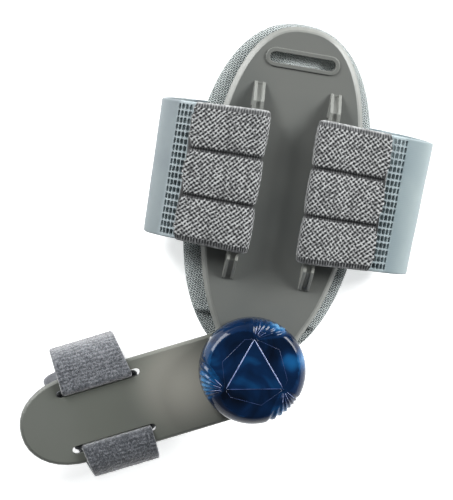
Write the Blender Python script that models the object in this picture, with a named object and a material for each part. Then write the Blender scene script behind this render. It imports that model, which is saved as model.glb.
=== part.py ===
"""Bunion corrector: a hinged splint with a padded foot plate, an elastic foot strap,
a toe arm with its toe strap, and an adjusting knob on the pivot.

Metres, +Z up. It lies on its straps, outer face up. The origin is on the floor, in the
middle of the foot strap's underside. +Y runs along the plate, from the knob to the slot.
"""

import math

import bmesh
import bpy
from mathutils import Vector

# Stack of layers above the floor
GAP = 0.0003                  # between pieces that touch
BAND_THICK = 0.0016
FOOT_SPACE = 0.0082           # between the strap's back and the pad
PAD_THICK = 0.0082
PLATE_THICK = 0.0026
ARM_THICK = 0.0026

# Foot plate, seen from above
PLATE_HALF_WIDTH = 0.0236
PLATE_UP = 0.0501             # plate's middle to its far end
PLATE_DOWN = 0.0546           # plate's middle to the end under the knob
PLATE_UP_POWER = 2.4
PLATE_DOWN_POWER = 2.1
PLATE_BEVEL = 0.0016
PIVOT_TO_MIDDLE = 0.0580      # pivot to the plate's middle
BOSS_RADIUS = 0.0135

# Spare strap slot at the plate's far end
SLOT_LENGTH = 0.0210
SLOT_WIDTH = 0.0034
SLOT_FROM_END = 0.0106
SLOT_RIM_WIDTH = 0.0012
SLOT_RIM_HEIGHT = 0.0005

# Strap rails
RAIL_OFFSET = 0.0121          # plate's centre line to a rail's middle
RAIL_WIDTH = 0.0034
RAIL_LENGTH = 0.0620
RAIL_RAMP = 0.0060
RAIL_GAP = 0.0034             # strap gap under the bar
RAIL_BAR = 0.0026             # bar's thickness
RAIL_FOOT = 0.0076            # solid foot at each end of the gap
FORK_WIDTH = 0.0016
FORK_DEPTH = 0.0011

# Pad
PAD_BORDER = 0.0050           # pad past the plate's edge
PAD_POWER_UP = 2.3
PAD_POWER_DOWN = 2.25
PAD_SHIFT = -0.0008
PAD_EDGE_ROLL = 0.0055

# Foot strap
STRAP_WIDTH = 0.0450          # at the rails
STRAP_TAPER = 0.0014          # lost on each side at the outer fold
BACK_EXTRA = 0.0011           # back of the strap wider than its fold, on each side
LOOP_SHIFT = 0.0025           # loop's middle, off the plate's centre line
LOOP_HALF = 0.0428            # loop's middle to its outer fold
LOOP_FLARE = 0.0008           # outer fold further out at the band's far edge, nearer at its near edge
FOLD_REACH = 0.0145           # across one rounded side of the loop
PANEL_THICK = 0.0018
PANEL_REACH = 0.0307          # plate's centre line to a panel's outer end
TAB_REACH = 0.0215            # plate's centre line to the end of a panel's tab
PANEL_DROP = 0.0018           # fall of the panel from the rail to its outer end
RIBS = 3
RIB_RELIEF = 0.0010
NET_COLUMNS = 3
NET_ROWS = 19
NET_WIDTH = 0.0056            # pierced strip beside a panel
NET_BAR = 0.00065             # cord between two holes

# Toe arm
ARM_ANGLE = 64.3              # degrees from -Y toward -X
ARM_LENGTH = 0.0746           # pivot to tip
ARM_HALF_WIDTH = 0.0139
ARM_TIP_ROUND = 0.0190        # length of the rounded tip
ARM_BEVEL = 0.0009
ARM_SLOT_OFFSET = 0.0091      # arm's centre line to a slot's
ARM_SLOT_START = 0.0346       # pivot to a slot's nearer round centre
ARM_SLOT_RUN = 0.0248         # between a slot's round centres
ARM_SLOT_WIDTH = 0.0024

# Toe strap
TOE_WIDTH = 0.0218
TOE_THICK = 0.0018
TOE_UPPER = 0.0089            # strap past the arm's edge on the plate's side
TOE_LOWER = 0.0053            # strap past the arm's other edge
TOE_LEAN = 0.0080             # floor side of the loop, toward the tip, at its upper end
TOE_SKEW = 0.07               # drift toward the tip, across the arm
TOE_TURN = 0.0060             # radius of the loop's rounded sides
TOE_MIDDLE = 0.0468           # pivot to the strap's middle

# Pivot and knob
SCREW_RADIUS = 0.0026
SCREW_HEAD_RADIUS = 0.0050
SCREW_HEAD_THICK = 0.0015
RUN_GAP = 0.0003              # between the screw and what turns round it
KNOB_RADIUS = 0.0166
KNOB_HEIGHT = 0.0116
KNOB_WALL = 0.0052            # height of the knob's side
KNOB_TABLE = 0.0112           # radius where the dome meets the flat top
KNOB_BORE_DEPTH = 0.0060
TRIANGLE_RADIUS = 0.0103      # knob's middle to a corner of the triangle
TRIANGLE_TURN = 9.8           # degrees, one corner from +Y toward -X
FACET_SLOPE = 7.0             # degrees
FLUTES = 5
FLUTE_PITCH = 11.0            # degrees
FLUTE_WIDTH = 0.0011
FLUTE_DEPTH = 0.0006

# Heights and places that follow from the sizes above
PAD_BASE_Z = BAND_THICK + FOOT_SPACE
PAD_TOP_Z = PAD_BASE_Z + PAD_THICK
PLATE_Z = PAD_TOP_Z + GAP
PLATE_TOP_Z = PLATE_Z + PLATE_THICK
ARM_Z = PLATE_Z - GAP - ARM_THICK
HEAD_Z = ARM_Z - GAP - SCREW_HEAD_THICK
BAR_Z = PLATE_TOP_Z + RAIL_GAP
BAR_TOP_Z = BAR_Z + RAIL_BAR
KNOB_Z = PLATE_TOP_Z + GAP
PIVOT = Vector((0.0, -PIVOT_TO_MIDDLE, 0.0))
PANEL_MID_Z = BAR_TOP_Z + GAP + PANEL_THICK / 2
ROLL_TOP_Z = PANEL_MID_Z - PANEL_DROP - PANEL_THICK / 2 - GAP - BAND_THICK / 2
HOLE_RADIUS = SCREW_RADIUS + RUN_GAP
STRAP_HALF = STRAP_WIDTH / 2
FOLD_HALF = STRAP_HALF - STRAP_TAPER


def clear_scene():
    for old in list(bpy.data.objects):
        bpy.data.objects.remove(old, do_unlink=True)


def material(name, colour, roughness, metallic=0.0):
    made = bpy.data.materials.new(name)
    made.use_nodes = True
    shader = made.node_tree.nodes["Principled BSDF"]
    shader.inputs["Base Color"].default_value = (*colour, 1.0)
    shader.inputs["Roughness"].default_value = roughness
    shader.inputs["Metallic"].default_value = metallic
    return made


def add_object(name, mesh_data, made=None, place=(0.0, 0.0, 0.0), turn=0.0, sharp=32.0):
    """Link an object to the scene, with smooth shading up to the given edge angle."""
    piece = bpy.data.objects.new(name, mesh_data)
    bpy.context.scene.collection.objects.link(piece)
    piece.location = place
    piece.rotation_euler = (0.0, 0.0, math.radians(turn))
    if made is not None:
        mesh_data.materials.append(made)
        mesh_data.shade_smooth()
        mesh_data.set_sharp_from_angle(angle=math.radians(sharp))
    return piece


def mesh_from(name, points, faces):
    mesh_data = bpy.data.meshes.new(name)
    mesh_data.from_pydata([tuple(point) for point in points], [], faces)
    mesh_data.update()
    return mesh_data


def stacked_rings(name, rings):
    """Closed mesh through rings of equal length, bottom first, each anticlockwise from above."""
    count = len(rings[0])
    points = [point for ring in rings for point in ring]
    faces = [tuple(reversed(range(count)))]
    for level in range(len(rings) - 1):
        low, high = level * count, (level + 1) * count
        for i in range(count):
            j = (i + 1) % count
            faces.append((low + i, low + j, high + j, high + i))
    faces.append(tuple(range((len(rings) - 1) * count, len(rings) * count)))
    return mesh_from(name, points, faces)


def at_height(outline, height):
    return [(x, y, height) for x, y in outline]


def inset(outline, distance):
    """Outline moved inward, square to itself."""
    moved = []
    for i, (x, y) in enumerate(outline):
        before, after = outline[i - 1], outline[(i + 1) % len(outline)]
        along = Vector((after[0] - before[0], after[1] - before[1])).normalized()
        moved.append((x - along.y * distance, y + along.x * distance))
    return moved


def cutter(name, mesh_data, place=(0.0, 0.0, 0.0), turn=0.0):
    tool = add_object(name, mesh_data, place=place, turn=turn)
    tool.hide_render = True
    tool.display_type = "WIRE"
    return tool


def boolean(piece, tool, operation="DIFFERENCE"):
    step = piece.modifiers.new(tool.name, "BOOLEAN")
    step.operation = operation
    step.solver = "EXACT"
    step.object = tool


def block(name, low, high):
    (x0, y0, z0), (x1, y1, z1) = low, high
    outline = [(x0, y0), (x1, y0), (x1, y1), (x0, y1)]
    return stacked_rings(name, [at_height(outline, z0), at_height(outline, z1)])


def disc_outline(radius, count):
    angles = [2 * math.pi * i / count for i in range(count)]
    return [(radius * math.cos(a), radius * math.sin(a)) for a in angles]


def capsule_outline(half_run, radius, count=8):
    """Long hole with round ends, lying along X."""
    right = [(half_run + radius * math.cos(a), radius * math.sin(a))
             for a in (math.pi * (i / count - 0.5) for i in range(count + 1))]
    return right + [(-x, -y) for x, y in right]


def profile_across(name, profile, x0, x1):
    """Prism of a (y, z) profile, drawn anticlockwise from +X, between two X planes."""
    count = len(profile)
    points = [(x, y, z) for x in (x0, x1) for y, z in profile]
    faces = [tuple(reversed(range(count))), tuple(range(count, 2 * count))]
    for i in range(count):
        j = (i + 1) % count
        faces.append((i, j, count + j, count + i))
    return mesh_from(name, points, faces)


# Foot plate

def superellipse_half(v, half_width, up, down, power_up, power_down):
    """Half width of an oval, at v along its length from its middle."""
    reach, power = (up, power_up) if v > 0 else (down, power_down)
    share = min(1.0, abs(v) / reach)
    return half_width * (1.0 - share ** power) ** (1.0 / power)


def plate_half(y):
    """Half width of the plate at y: its oval, run smoothly into the round boss."""
    oval = superellipse_half(y, PLATE_HALF_WIDTH, PLATE_UP, PLATE_DOWN,
                             PLATE_UP_POWER, PLATE_DOWN_POWER)
    from_pivot = y + PIVOT_TO_MIDDLE
    boss = math.sqrt(max(0.0, BOSS_RADIUS ** 2 - from_pivot ** 2))
    return (oval ** 4 + boss ** 4) ** 0.25


def long_outline(half_at, y0, y1, count, shift=0.0):
    """Anticlockwise outline from y0 to y1, finer toward its ends."""
    steps = [0.5 - 0.5 * math.cos(math.pi * i / count) for i in range(count + 1)]
    right = [(half_at(y0 + (y1 - y0) * s), y0 + (y1 - y0) * s) for s in steps]
    left = [(-x, y) for x, y in reversed(right[1:-1])]
    right[0] = (0.0, y0)
    right[-1] = (0.0, y1)
    return [(x + shift, y) for x, y in right + left]


def rail_profile():
    base = PLATE_TOP_Z - PLATE_THICK / 2
    toe = PLATE_TOP_Z + RAIL_BAR / 5
    half = RAIL_LENGTH / 2
    flat = half - RAIL_RAMP
    return [(-half, base), (half, base), (half, toe), (flat, BAR_TOP_Z),
            (-flat, BAR_TOP_Z), (-half, toe)]


def fork_profile(side):
    """Channel along a ramp's middle, which leaves a thin fin on each side."""
    half, above = RAIL_LENGTH / 2, BAR_TOP_Z + PLATE_THICK
    flat = half - RAIL_RAMP
    inner = min(flat, STRAP_HALF) - PANEL_THICK
    profile = [(half + PLATE_THICK, PLATE_TOP_Z), (half + PLATE_THICK, above),
               (inner, above), (inner, BAR_TOP_Z - FORK_DEPTH / 3),
               (flat, BAR_TOP_Z - FORK_DEPTH), (half - RAIL_BAR / 3, PLATE_TOP_Z)]
    if side < 0:
        return [(-y, z) for y, z in reversed(profile)]
    return profile


def make_foot_plate(made):
    outline = long_outline(plate_half, -PIVOT_TO_MIDDLE - BOSS_RADIUS, PLATE_UP, 44)
    top = PLATE_TOP_Z
    rings = [at_height(inset(outline, 0.0004), PLATE_Z),
             at_height(outline, PLATE_Z + PLATE_THICK * 0.15),
             at_height(outline, PLATE_Z + PLATE_THICK * 0.42),
             at_height(inset(outline, PLATE_BEVEL * 0.62), top - PLATE_THICK * 0.16),
             at_height(inset(outline, PLATE_BEVEL), top)]
    plate = add_object("foot_plate", stacked_rings("foot_plate", rings), made)

    for side, label in ((-1, "left"), (1, "right")):
        x0 = side * RAIL_OFFSET - RAIL_WIDTH / 2
        x1 = x0 + RAIL_WIDTH
        rail = cutter(f"rail_{label}", profile_across("rail", rail_profile(), x0, x1))
        boolean(plate, rail, "UNION")
        half_gap = RAIL_LENGTH / 2 - RAIL_FOOT
        gap = cutter(f"rail_gap_{label}",
                     block("rail_gap", (x0 - 0.001, -half_gap, PLATE_TOP_Z),
                           (x1 + 0.001, half_gap, BAR_Z)))
        boolean(plate, gap)
        for end, name in ((-1, "near"), (1, "far")):
            middle = side * RAIL_OFFSET
            fork = cutter(f"rail_fork_{label}_{name}",
                          profile_across("rail_fork", fork_profile(end),
                                         middle - FORK_WIDTH / 2, middle + FORK_WIDTH / 2))
            boolean(plate, fork)

    slot_y = PLATE_UP - SLOT_FROM_END
    run = (SLOT_LENGTH - SLOT_WIDTH) / 2
    rim_outline = capsule_outline(run, SLOT_WIDTH / 2 + SLOT_RIM_WIDTH)
    rim = cutter("slot_rim", stacked_rings("slot_rim", [
        at_height(rim_outline, top - PLATE_THICK / 2), at_height(rim_outline, top + SLOT_RIM_HEIGHT)]),
        place=(0.0, slot_y, 0.0))
    boolean(plate, rim, "UNION")
    slot_outline = capsule_outline(run, SLOT_WIDTH / 2)
    slot = cutter("slot_hole", stacked_rings("slot_hole", [
        at_height(slot_outline, PLATE_Z - 0.002), at_height(slot_outline, top + 0.002)]),
        place=(0.0, slot_y, 0.0))
    boolean(plate, slot)
    hole = disc_outline(HOLE_RADIUS, 20)
    bore = cutter("plate_bore", stacked_rings("plate_bore", [
        at_height(hole, PLATE_Z - 0.002), at_height(hole, top + 0.002)]), place=PIVOT)
    boolean(plate, bore)
    return plate


# Pad

def make_foot_pad(made):
    half_width = PLATE_HALF_WIDTH + PAD_BORDER
    up = PLATE_UP + 0.32 * PAD_BORDER
    down = PLATE_DOWN + 0.30 * PAD_BORDER

    def pad_half(y):
        return superellipse_half(y, half_width, up, down, PAD_POWER_UP, PAD_POWER_DOWN)

    outline = long_outline(pad_half, -down, up, 30, PAD_SHIFT)
    shares = (  # inset as a share of the rolled edge, height as a share of the thickness
        (1.30, 0.00),
        (0.55, 0.07),
        (0.12, 0.27),
        (0.00, 0.52),
        (0.12, 0.76),
        (0.48, 0.94),
        (1.00, 1.00),
    )
    rings = [at_height(inset(outline, PAD_EDGE_ROLL * inward), PAD_BASE_Z + PAD_THICK * up_share)
             for inward, up_share in shares]
    pad = add_object("foot_pad", stacked_rings("foot_pad", rings), made, sharp=50.0)

    # Step that clears the arm at every angle, with a pocket for the screw's head
    reach = half_width + 0.01
    step_y = -PIVOT_TO_MIDDLE + ARM_HALF_WIDTH + 0.0012
    step = cutter("pad_step", profile_across("pad_step", [
        (-down - 0.02, ARM_Z - GAP), (step_y, ARM_Z - GAP), (step_y + 0.0008, PAD_TOP_Z + 0.002),
        (-down - 0.02, PAD_TOP_Z + 0.002)], -reach, reach))
    boolean(pad, step)
    pocket_outline = disc_outline(SCREW_HEAD_RADIUS + 2 * GAP, 24)
    pocket = cutter("pad_pocket", stacked_rings("pad_pocket", [
        at_height(pocket_outline, HEAD_Z - GAP), at_height(pocket_outline, PAD_TOP_Z)]),
        place=PIVOT)
    boolean(pad, pocket)
    return pad


# Foot strap

def side_centre(side):
    """X of the middle of one rounded side of the loop."""
    return side * (LOOP_HALF - BAND_THICK / 2 - FOLD_REACH) + LOOP_SHIFT


def fold_point(side, angle):
    """Middle of the band on a rounded side: 90 degrees is its top, -90 the floor."""
    middle_z = (ROLL_TOP_Z + BAND_THICK / 2) * 0.46
    rise = ROLL_TOP_Z - middle_z if angle > 0 else middle_z - BAND_THICK / 2
    turn = math.radians(angle)
    return (side_centre(side) + side * FOLD_REACH * math.cos(turn),
            middle_z + rise * math.sin(turn))


def band_height(side, x):
    """Middle of the band above x, on its upper run."""
    across = side * (x - side_centre(side)) / FOLD_REACH
    if across <= 0:
        return ROLL_TOP_Z
    return fold_point(side, math.degrees(math.acos(min(1.0, across))))[1]


def angle_at(side, x):
    return math.degrees(math.acos(side * (x - side_centre(side)) / FOLD_REACH))


def row_normal(path, i, closed=False):
    """Unit normal on the left of an (x, z) path."""
    last = len(path) - 1
    before = path[i - 1] if i > 0 or closed else path[i]
    after = path[(i + 1) % len(path)] if i < last or closed else path[i]
    along = Vector((after[0] - before[0], after[1] - before[1])).normalized()
    return Vector((-along.y, along.x))


def upper_angle(side, run):
    """Angle on the rounded side, at run outward from the panel's outer end."""
    flat = max(0.0, side * side_centre(side) - PANEL_REACH)
    start = 90.0 if flat > 0 else angle_at(side, side * PANEL_REACH)
    return start - math.degrees((run - flat) / FOLD_REACH)


def upper_point(side, run):
    """Middle of the band, at run outward from the panel's outer end."""
    if PANEL_REACH + run <= side * side_centre(side):
        return side * (PANEL_REACH + run), ROLL_TOP_Z
    return fold_point(side, upper_angle(side, run))


def net_runs():
    """Rows of the pierced strip, as distances from the panel's outer end."""
    hole = (NET_WIDTH - NET_BAR * (NET_COLUMNS + 1)) / NET_COLUMNS
    runs = [0.0]
    for _ in range(NET_COLUMNS):
        runs += [runs[-1] + NET_BAR, runs[-1] + NET_BAR + hole]
    return runs + [NET_WIDTH]


def band_half(share):
    """Half of the band's width: 0 at the panel, 1 at the outer fold, 2 on the floor."""
    if share <= 1:
        return FOLD_HALF + STRAP_TAPER * 0.4 * (1 - share)
    return FOLD_HALF + BACK_EXTRA * (share - 1)


def side_rows(side):
    """Rows of the band on one side, from its inner margin to the floor: x, z, share, netted."""
    start = TAB_REACH + GAP + BAND_THICK / 2
    rows = [(side * start, ROLL_TOP_Z, 0.0, False)]
    if start + BAND_THICK < side * side_centre(side) < PANEL_REACH - BAND_THICK:
        rows.append((side_centre(side), ROLL_TOP_Z, 0.0, False))
    runs = net_runs()
    for i, run in enumerate(runs):
        rows.append((*upper_point(side, run), 0.15 + 0.5 * i / len(runs), i < len(runs) - 1))
    net_end = upper_angle(side, NET_WIDTH)
    for i in range(1, 7):
        rows.append((*fold_point(side, net_end * (1 - i / 6)), 0.65 + 0.35 * i / 6, False))
    for i in range(1, 9):
        rows.append((*fold_point(side, -90.0 * i / 8), 1 + i / 8, False))
    return rows


def flare(x):
    """How far the loop widens at its far edge, most at the outer folds."""
    share = (abs(x) - PANEL_REACH) / (LOOP_HALF - PANEL_REACH)
    return math.copysign(LOOP_FLARE * max(0.0, min(1.0, share)), x)


def make_strap_band(made):
    """Smooth band round the back of the foot, pierced beside each panel."""
    right = side_rows(1)
    left = side_rows(-1)
    rows = right + list(reversed(left))
    netted = [row[3] for row in right]
    # On the way back in, a strip is netted when the row after it was on the way out
    back = [row[3] for row in left]
    strips = netted[:-1] + [False] + [back[i] for i in range(len(left) - 2, -1, -1)]
    path = [(x, z) for x, z, _, _ in rows]
    half = [band_half(share) for _, _, share, _ in rows]
    hole_strips = set()
    for i in range(len(strips)):
        if strips[i]:
            first = i
            while first > 0 and strips[first - 1]:
                first -= 1
            if (i - first) % 2 == 1:
                hole_strips.add(i)
    net_row = [False] * len(rows)
    for i, is_net in enumerate(strips):
        if is_net:
            net_row[i] = net_row[i + 1] = True

    cord = NET_BAR
    points, top_rows, low_rows = [], [], []
    for i, (x, z) in enumerate(path):
        normal = row_normal(path, i)
        ys = [-half[i], half[i]]
        if net_row[i]:
            hole = (2 * half[i] - cord * (NET_ROWS + 1)) / NET_ROWS
            ys, y = [-half[i]], -half[i]
            for _ in range(NET_ROWS):
                ys += [y + cord, y + cord + hole]
                y += cord + hole
            ys.append(half[i])
        for rows_out, offset in ((top_rows, BAND_THICK / 2), (low_rows, -BAND_THICK / 2)):
            first = len(points)
            points += [(x + normal.x * offset + flare(x) * y / FOLD_HALF, y, z + normal.y * offset)
                       for y in ys]
            rows_out.append(list(range(first, len(points))))

    faces = []
    for i in range(len(path) - 1):
        a, b, c, d = top_rows[i], top_rows[i + 1], low_rows[i], low_rows[i + 1]
        if strips[i]:
            for j in range(len(a) - 1):
                if i in hole_strips and j % 2 == 1:
                    faces += [(a[j], c[j], c[j + 1], a[j + 1]), (b[j], b[j + 1], d[j + 1], d[j]),
                              (a[j], b[j], d[j], c[j]), (a[j + 1], c[j + 1], d[j + 1], b[j + 1])]
                else:
                    faces += [(a[j], a[j + 1], b[j + 1], b[j]), (c[j], d[j], d[j + 1], c[j + 1])]
        else:
            faces.append(tuple(a) + tuple(reversed(b)))
            faces.append(tuple(reversed(c)) + tuple(d))
        faces += [(a[0], b[0], d[0], c[0]), (a[-1], c[-1], d[-1], b[-1])]
    faces.append(tuple(reversed(top_rows[0])) + tuple(low_rows[0]))
    faces.append(tuple(top_rows[-1]) + tuple(reversed(low_rows[-1])))
    mesh_data = mesh_from("strap_band", points, faces)
    face_outward(mesh_data)
    return add_object("strap_band", mesh_data, made, sharp=40.0)


def face_outward(mesh_data):
    """Turn every face outward, and join vertices that coincide."""
    shape = bmesh.new()
    shape.from_mesh(mesh_data)
    bmesh.ops.remove_doubles(shape, verts=shape.verts, dist=0.000001)
    bmesh.ops.recalc_face_normals(shape, faces=shape.faces)
    shape.to_mesh(mesh_data)
    shape.free()


def arc(centre, radius, start, end, count):
    """Points along a circular arc in the XZ plane, angles in degrees."""
    angles = [math.radians(start + (end - start) * i / count) for i in range(count + 1)]
    return [(centre[0] + radius * math.cos(a), centre[1] + radius * math.sin(a)) for a in angles]


def panel_path(side):
    """Middle of a panel: from its outer end over the rail's bar, round it, to the tab's end."""
    turn = GAP + PANEL_THICK / 2
    inner = RAIL_OFFSET - RAIL_WIDTH / 2
    lift = PANEL_THICK / 2 + GAP + BAND_THICK / 2
    over = []
    for i in range(7):
        x = PANEL_REACH + (TAB_REACH - PANEL_REACH) * i / 6
        over.append((x, band_height(side, side * x) + lift))
    rail_side = RAIL_OFFSET + RAIL_WIDTH / 2
    end_x, end_z = over[-1]
    for i in range(1, 4):
        share = i / 4
        ease = share * share * (3 - 2 * share)
        over.append((end_x + (rail_side - end_x) * share, end_z + (PANEL_MID_Z - end_z) * ease))
    path = over + [(rail_side, PANEL_MID_Z)]
    path += arc((inner, BAR_TOP_Z), turn, 90, 180, 5)
    path += arc((inner, BAR_Z), turn, 180, 270, 5)
    low = BAR_Z - turn
    path.append((rail_side, low))
    tab_z = end_z - PANEL_THICK - GAP
    for i in range(1, 4):
        share = i / 3
        ease = share * share * (3 - 2 * share)
        path.append((rail_side + (TAB_REACH - rail_side) * share, low + (tab_z - low) * ease))
    return [(side * x, z) for x, z in path]


def rib_height(across):
    """Padded ribs over the width, across running from -1 to 1."""
    return RIB_RELIEF * abs(math.cos(math.pi * RIBS * across / 2)) ** 0.55


def panel_half(x):
    """Half of a panel's width at x."""
    reach = (abs(x) - RAIL_OFFSET) / (PANEL_REACH - RAIL_OFFSET)
    return STRAP_HALF - STRAP_TAPER * 0.6 * max(0.0, min(1.0, reach))


def make_panel(name, side, made):
    """Ribbed elastic panel: flat on its inner face, padded ribs on its outer face."""
    path = panel_path(side)
    within = (0.0, 0.07, 0.22, 0.5, 0.78, 0.93)
    across = [-1 + 2 * (rib + share) / RIBS for rib in range(RIBS) for share in within] + [1.0]
    points, outer_rows, inner_rows = [], [], []
    tab_start = len(path) - 4
    for i, (x, z) in enumerate(path):
        normal = row_normal(path, i) * -side
        half = panel_half(x)
        fade = 1.0 if i < tab_start - 4 else max(0.0, 1 - (i - tab_start + 4) / 4)
        first = len(points)
        for share in across:
            out = PANEL_THICK / 2 + rib_height(share) * fade
            points.append((x + normal.x * out, share * half, z + normal.y * out))
        outer_rows.append(list(range(first, len(points))))
        first = len(points)
        for share in (-1, 1):
            points.append((x - normal.x * PANEL_THICK / 2, share * half,
                           z - normal.y * PANEL_THICK / 2))
        inner_rows.append([first, first + 1])
    faces = []
    for i in range(len(path) - 1):
        a, b, c, d = outer_rows[i], outer_rows[i + 1], inner_rows[i], inner_rows[i + 1]
        for j in range(len(a) - 1):
            faces.append((a[j], a[j + 1], b[j + 1], b[j]))
        faces += [(c[0], d[0], d[1], c[1]), (a[0], b[0], d[0], c[0]), (a[-1], c[1], d[1], b[-1])]
    faces.append(tuple(reversed(outer_rows[0])) + tuple(inner_rows[0]))
    faces.append(tuple(outer_rows[-1]) + tuple(reversed(inner_rows[-1])))
    mesh_data = mesh_from(name, points, faces)
    face_outward(mesh_data)
    return add_object(name, mesh_data, made, sharp=50.0)


# Toe arm and toe strap, both drawn along +X from the pivot and then turned to the arm's angle

def arm_turn():
    return 270.0 - ARM_ANGLE


def arm_half(s):
    """Half width of the arm at s from the pivot."""
    if s < 0:
        return math.sqrt(max(0.0, ARM_HALF_WIDTH ** 2 - s * s))
    start = ARM_LENGTH - ARM_TIP_ROUND
    if s <= start:
        return ARM_HALF_WIDTH
    share = min(1.0, (s - start) / ARM_TIP_ROUND)
    return ARM_HALF_WIDTH * (1 - share ** 2.15) ** (1 / 2.15)


def make_toe_arm(made):
    outline = [(s, -t) for t, s in long_outline(arm_half, -ARM_HALF_WIDTH, ARM_LENGTH, 30)]
    rings = [at_height(inset(outline, ARM_BEVEL * 0.5), ARM_Z),
             at_height(outline, ARM_Z + ARM_THICK * 0.22),
             at_height(outline, ARM_Z + ARM_THICK * 0.60),
             at_height(inset(outline, ARM_BEVEL * 0.35), ARM_Z + ARM_THICK * 0.88),
             at_height(inset(outline, ARM_BEVEL), ARM_Z + ARM_THICK)]
    arm = add_object("toe_arm", stacked_rings("toe_arm", rings), made, PIVOT, arm_turn())
    slot_outline = capsule_outline(ARM_SLOT_RUN / 2, ARM_SLOT_WIDTH / 2, 6)
    for side, label in ((-1, "upper"), (1, "lower")):
        local = Vector((ARM_SLOT_START + ARM_SLOT_RUN / 2, side * ARM_SLOT_OFFSET, 0.0))
        local.rotate(arm.rotation_euler)
        hole = cutter(f"arm_slot_{label}", stacked_rings("arm_slot", [
            at_height(slot_outline, ARM_Z - 0.002), at_height(slot_outline, ARM_Z + ARM_THICK + 0.002)]),
            PIVOT + local, arm_turn())
        boolean(arm, hole)
    ring = disc_outline(HOLE_RADIUS, 20)
    bore = cutter("arm_bore", stacked_rings("arm_bore", [
        at_height(ring, ARM_Z - 0.002), at_height(ring, ARM_Z + ARM_THICK + 0.002)]), PIVOT)
    boolean(arm, bore)
    return arm


def filleted(corners, steps):
    """Closed path through (t, z, radius) corners, each rounded with its radius."""
    path = []
    for i, (t, z, radius) in enumerate(corners):
        here = Vector((t, z))
        to_before = (Vector(corners[i - 1][:2]) - here).normalized()
        to_after = (Vector(corners[(i + 1) % len(corners)][:2]) - here).normalized()
        half_angle = to_before.angle(to_after) / 2
        back = radius / math.tan(half_angle)
        centre = here + (to_before + to_after).normalized() * (radius / math.sin(half_angle))
        start, end = here + to_before * back - centre, here + to_after * back - centre
        count = steps if radius > TOE_THICK else max(3, steps // 2)
        sweep = start.angle_signed(end)
        for k in range(count + 1):
            angle = -sweep * k / count
            turned = Vector((start.x * math.cos(angle) - start.y * math.sin(angle),
                             start.x * math.sin(angle) + start.y * math.cos(angle)))
            path.append(tuple(centre + turned))
    return path


def toe_loop_path():
    """Closed loop across the arm: under it, up through each slot, out and round below."""
    under = ARM_Z - GAP - TOE_THICK / 2
    over = ARM_Z + ARM_THICK + GAP + TOE_THICK / 2
    slot, floor = ARM_SLOT_OFFSET, TOE_THICK / 2
    lower = ARM_HALF_WIDTH + TOE_LOWER - TOE_THICK / 2
    upper = -(ARM_HALF_WIDTH + TOE_UPPER - TOE_THICK / 2)
    tight = TOE_THICK / 2 + GAP
    return filleted([(slot, under, tight), (slot, over, tight), (lower, over, TOE_TURN * 0.85),
                     (lower, floor, TOE_TURN * 1.1), (upper, floor, TOE_TURN * 1.1),
                     (upper, over, TOE_TURN), (-slot, over, tight), (-slot, under, tight)], 6)


def toe_drift(t, z):
    """How far the strap has drifted toward the tip, at a place on its loop."""
    reach = ARM_HALF_WIDTH + TOE_UPPER
    hang = 1.0 - max(0.0, min(1.0, z / ARM_Z))
    return -TOE_SKEW * t + TOE_LEAN * hang * (0.5 - 0.5 * t / reach)


def make_toe_strap(made):
    path = toe_loop_path()
    half, edge = TOE_WIDTH / 2, TOE_THICK / 2
    section = ((-1, 0.45), (-0.965, 1), (0.965, 1), (1, 0.45), (1, -0.45), (0.965, -1),
               (-0.965, -1), (-1, -0.45))
    points, faces = [], []
    for i, (t, z) in enumerate(path):
        normal = row_normal(path, i, closed=True)
        middle = TOE_MIDDLE + toe_drift(t, z)
        for along, out in section:
            points.append((middle + along * half, t + normal.x * out * edge,
                           z + normal.y * out * edge))
    size, rows = len(section), len(path)
    for i in range(rows):
        j = (i + 1) % rows
        for k in range(size):
            m = (k + 1) % size
            faces.append((i * size + k, i * size + m, j * size + m, j * size + k))
    mesh_data = mesh_from("toe_strap", points, faces)
    face_outward(mesh_data)
    return add_object("toe_strap", mesh_data, made, PIVOT, arm_turn(), sharp=50.0)


# Pivot screw and knob

def turned_rings(profile, count):
    return [at_height(disc_outline(radius, count), z) for radius, z in profile]


def make_pivot_screw(made):
    top = KNOB_Z + KNOB_BORE_DEPTH - GAP
    profile = [(SCREW_HEAD_RADIUS - 0.0004, HEAD_Z), (SCREW_HEAD_RADIUS, HEAD_Z + 0.0004),
               (SCREW_HEAD_RADIUS, HEAD_Z + SCREW_HEAD_THICK),
               (SCREW_RADIUS, HEAD_Z + SCREW_HEAD_THICK), (SCREW_RADIUS, top)]
    return add_object("pivot_screw", stacked_rings("pivot_screw", turned_rings(profile, 20)),
                      made, PIVOT)


def knob_profile():
    """Side, then a wide dome up to the flat top."""
    rise = KNOB_HEIGHT - KNOB_WALL
    profile = [(KNOB_RADIUS - 0.0007, 0.0), (KNOB_RADIUS, 0.0007), (KNOB_RADIUS, KNOB_WALL)]
    for share in (0.2, 0.42, 0.64, 0.84, 1.0):
        turn = math.radians(90 * share)
        profile.append((KNOB_TABLE + (KNOB_RADIUS - KNOB_TABLE) * math.cos(turn),
                        KNOB_WALL + rise * math.sin(turn)))
    return profile


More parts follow.
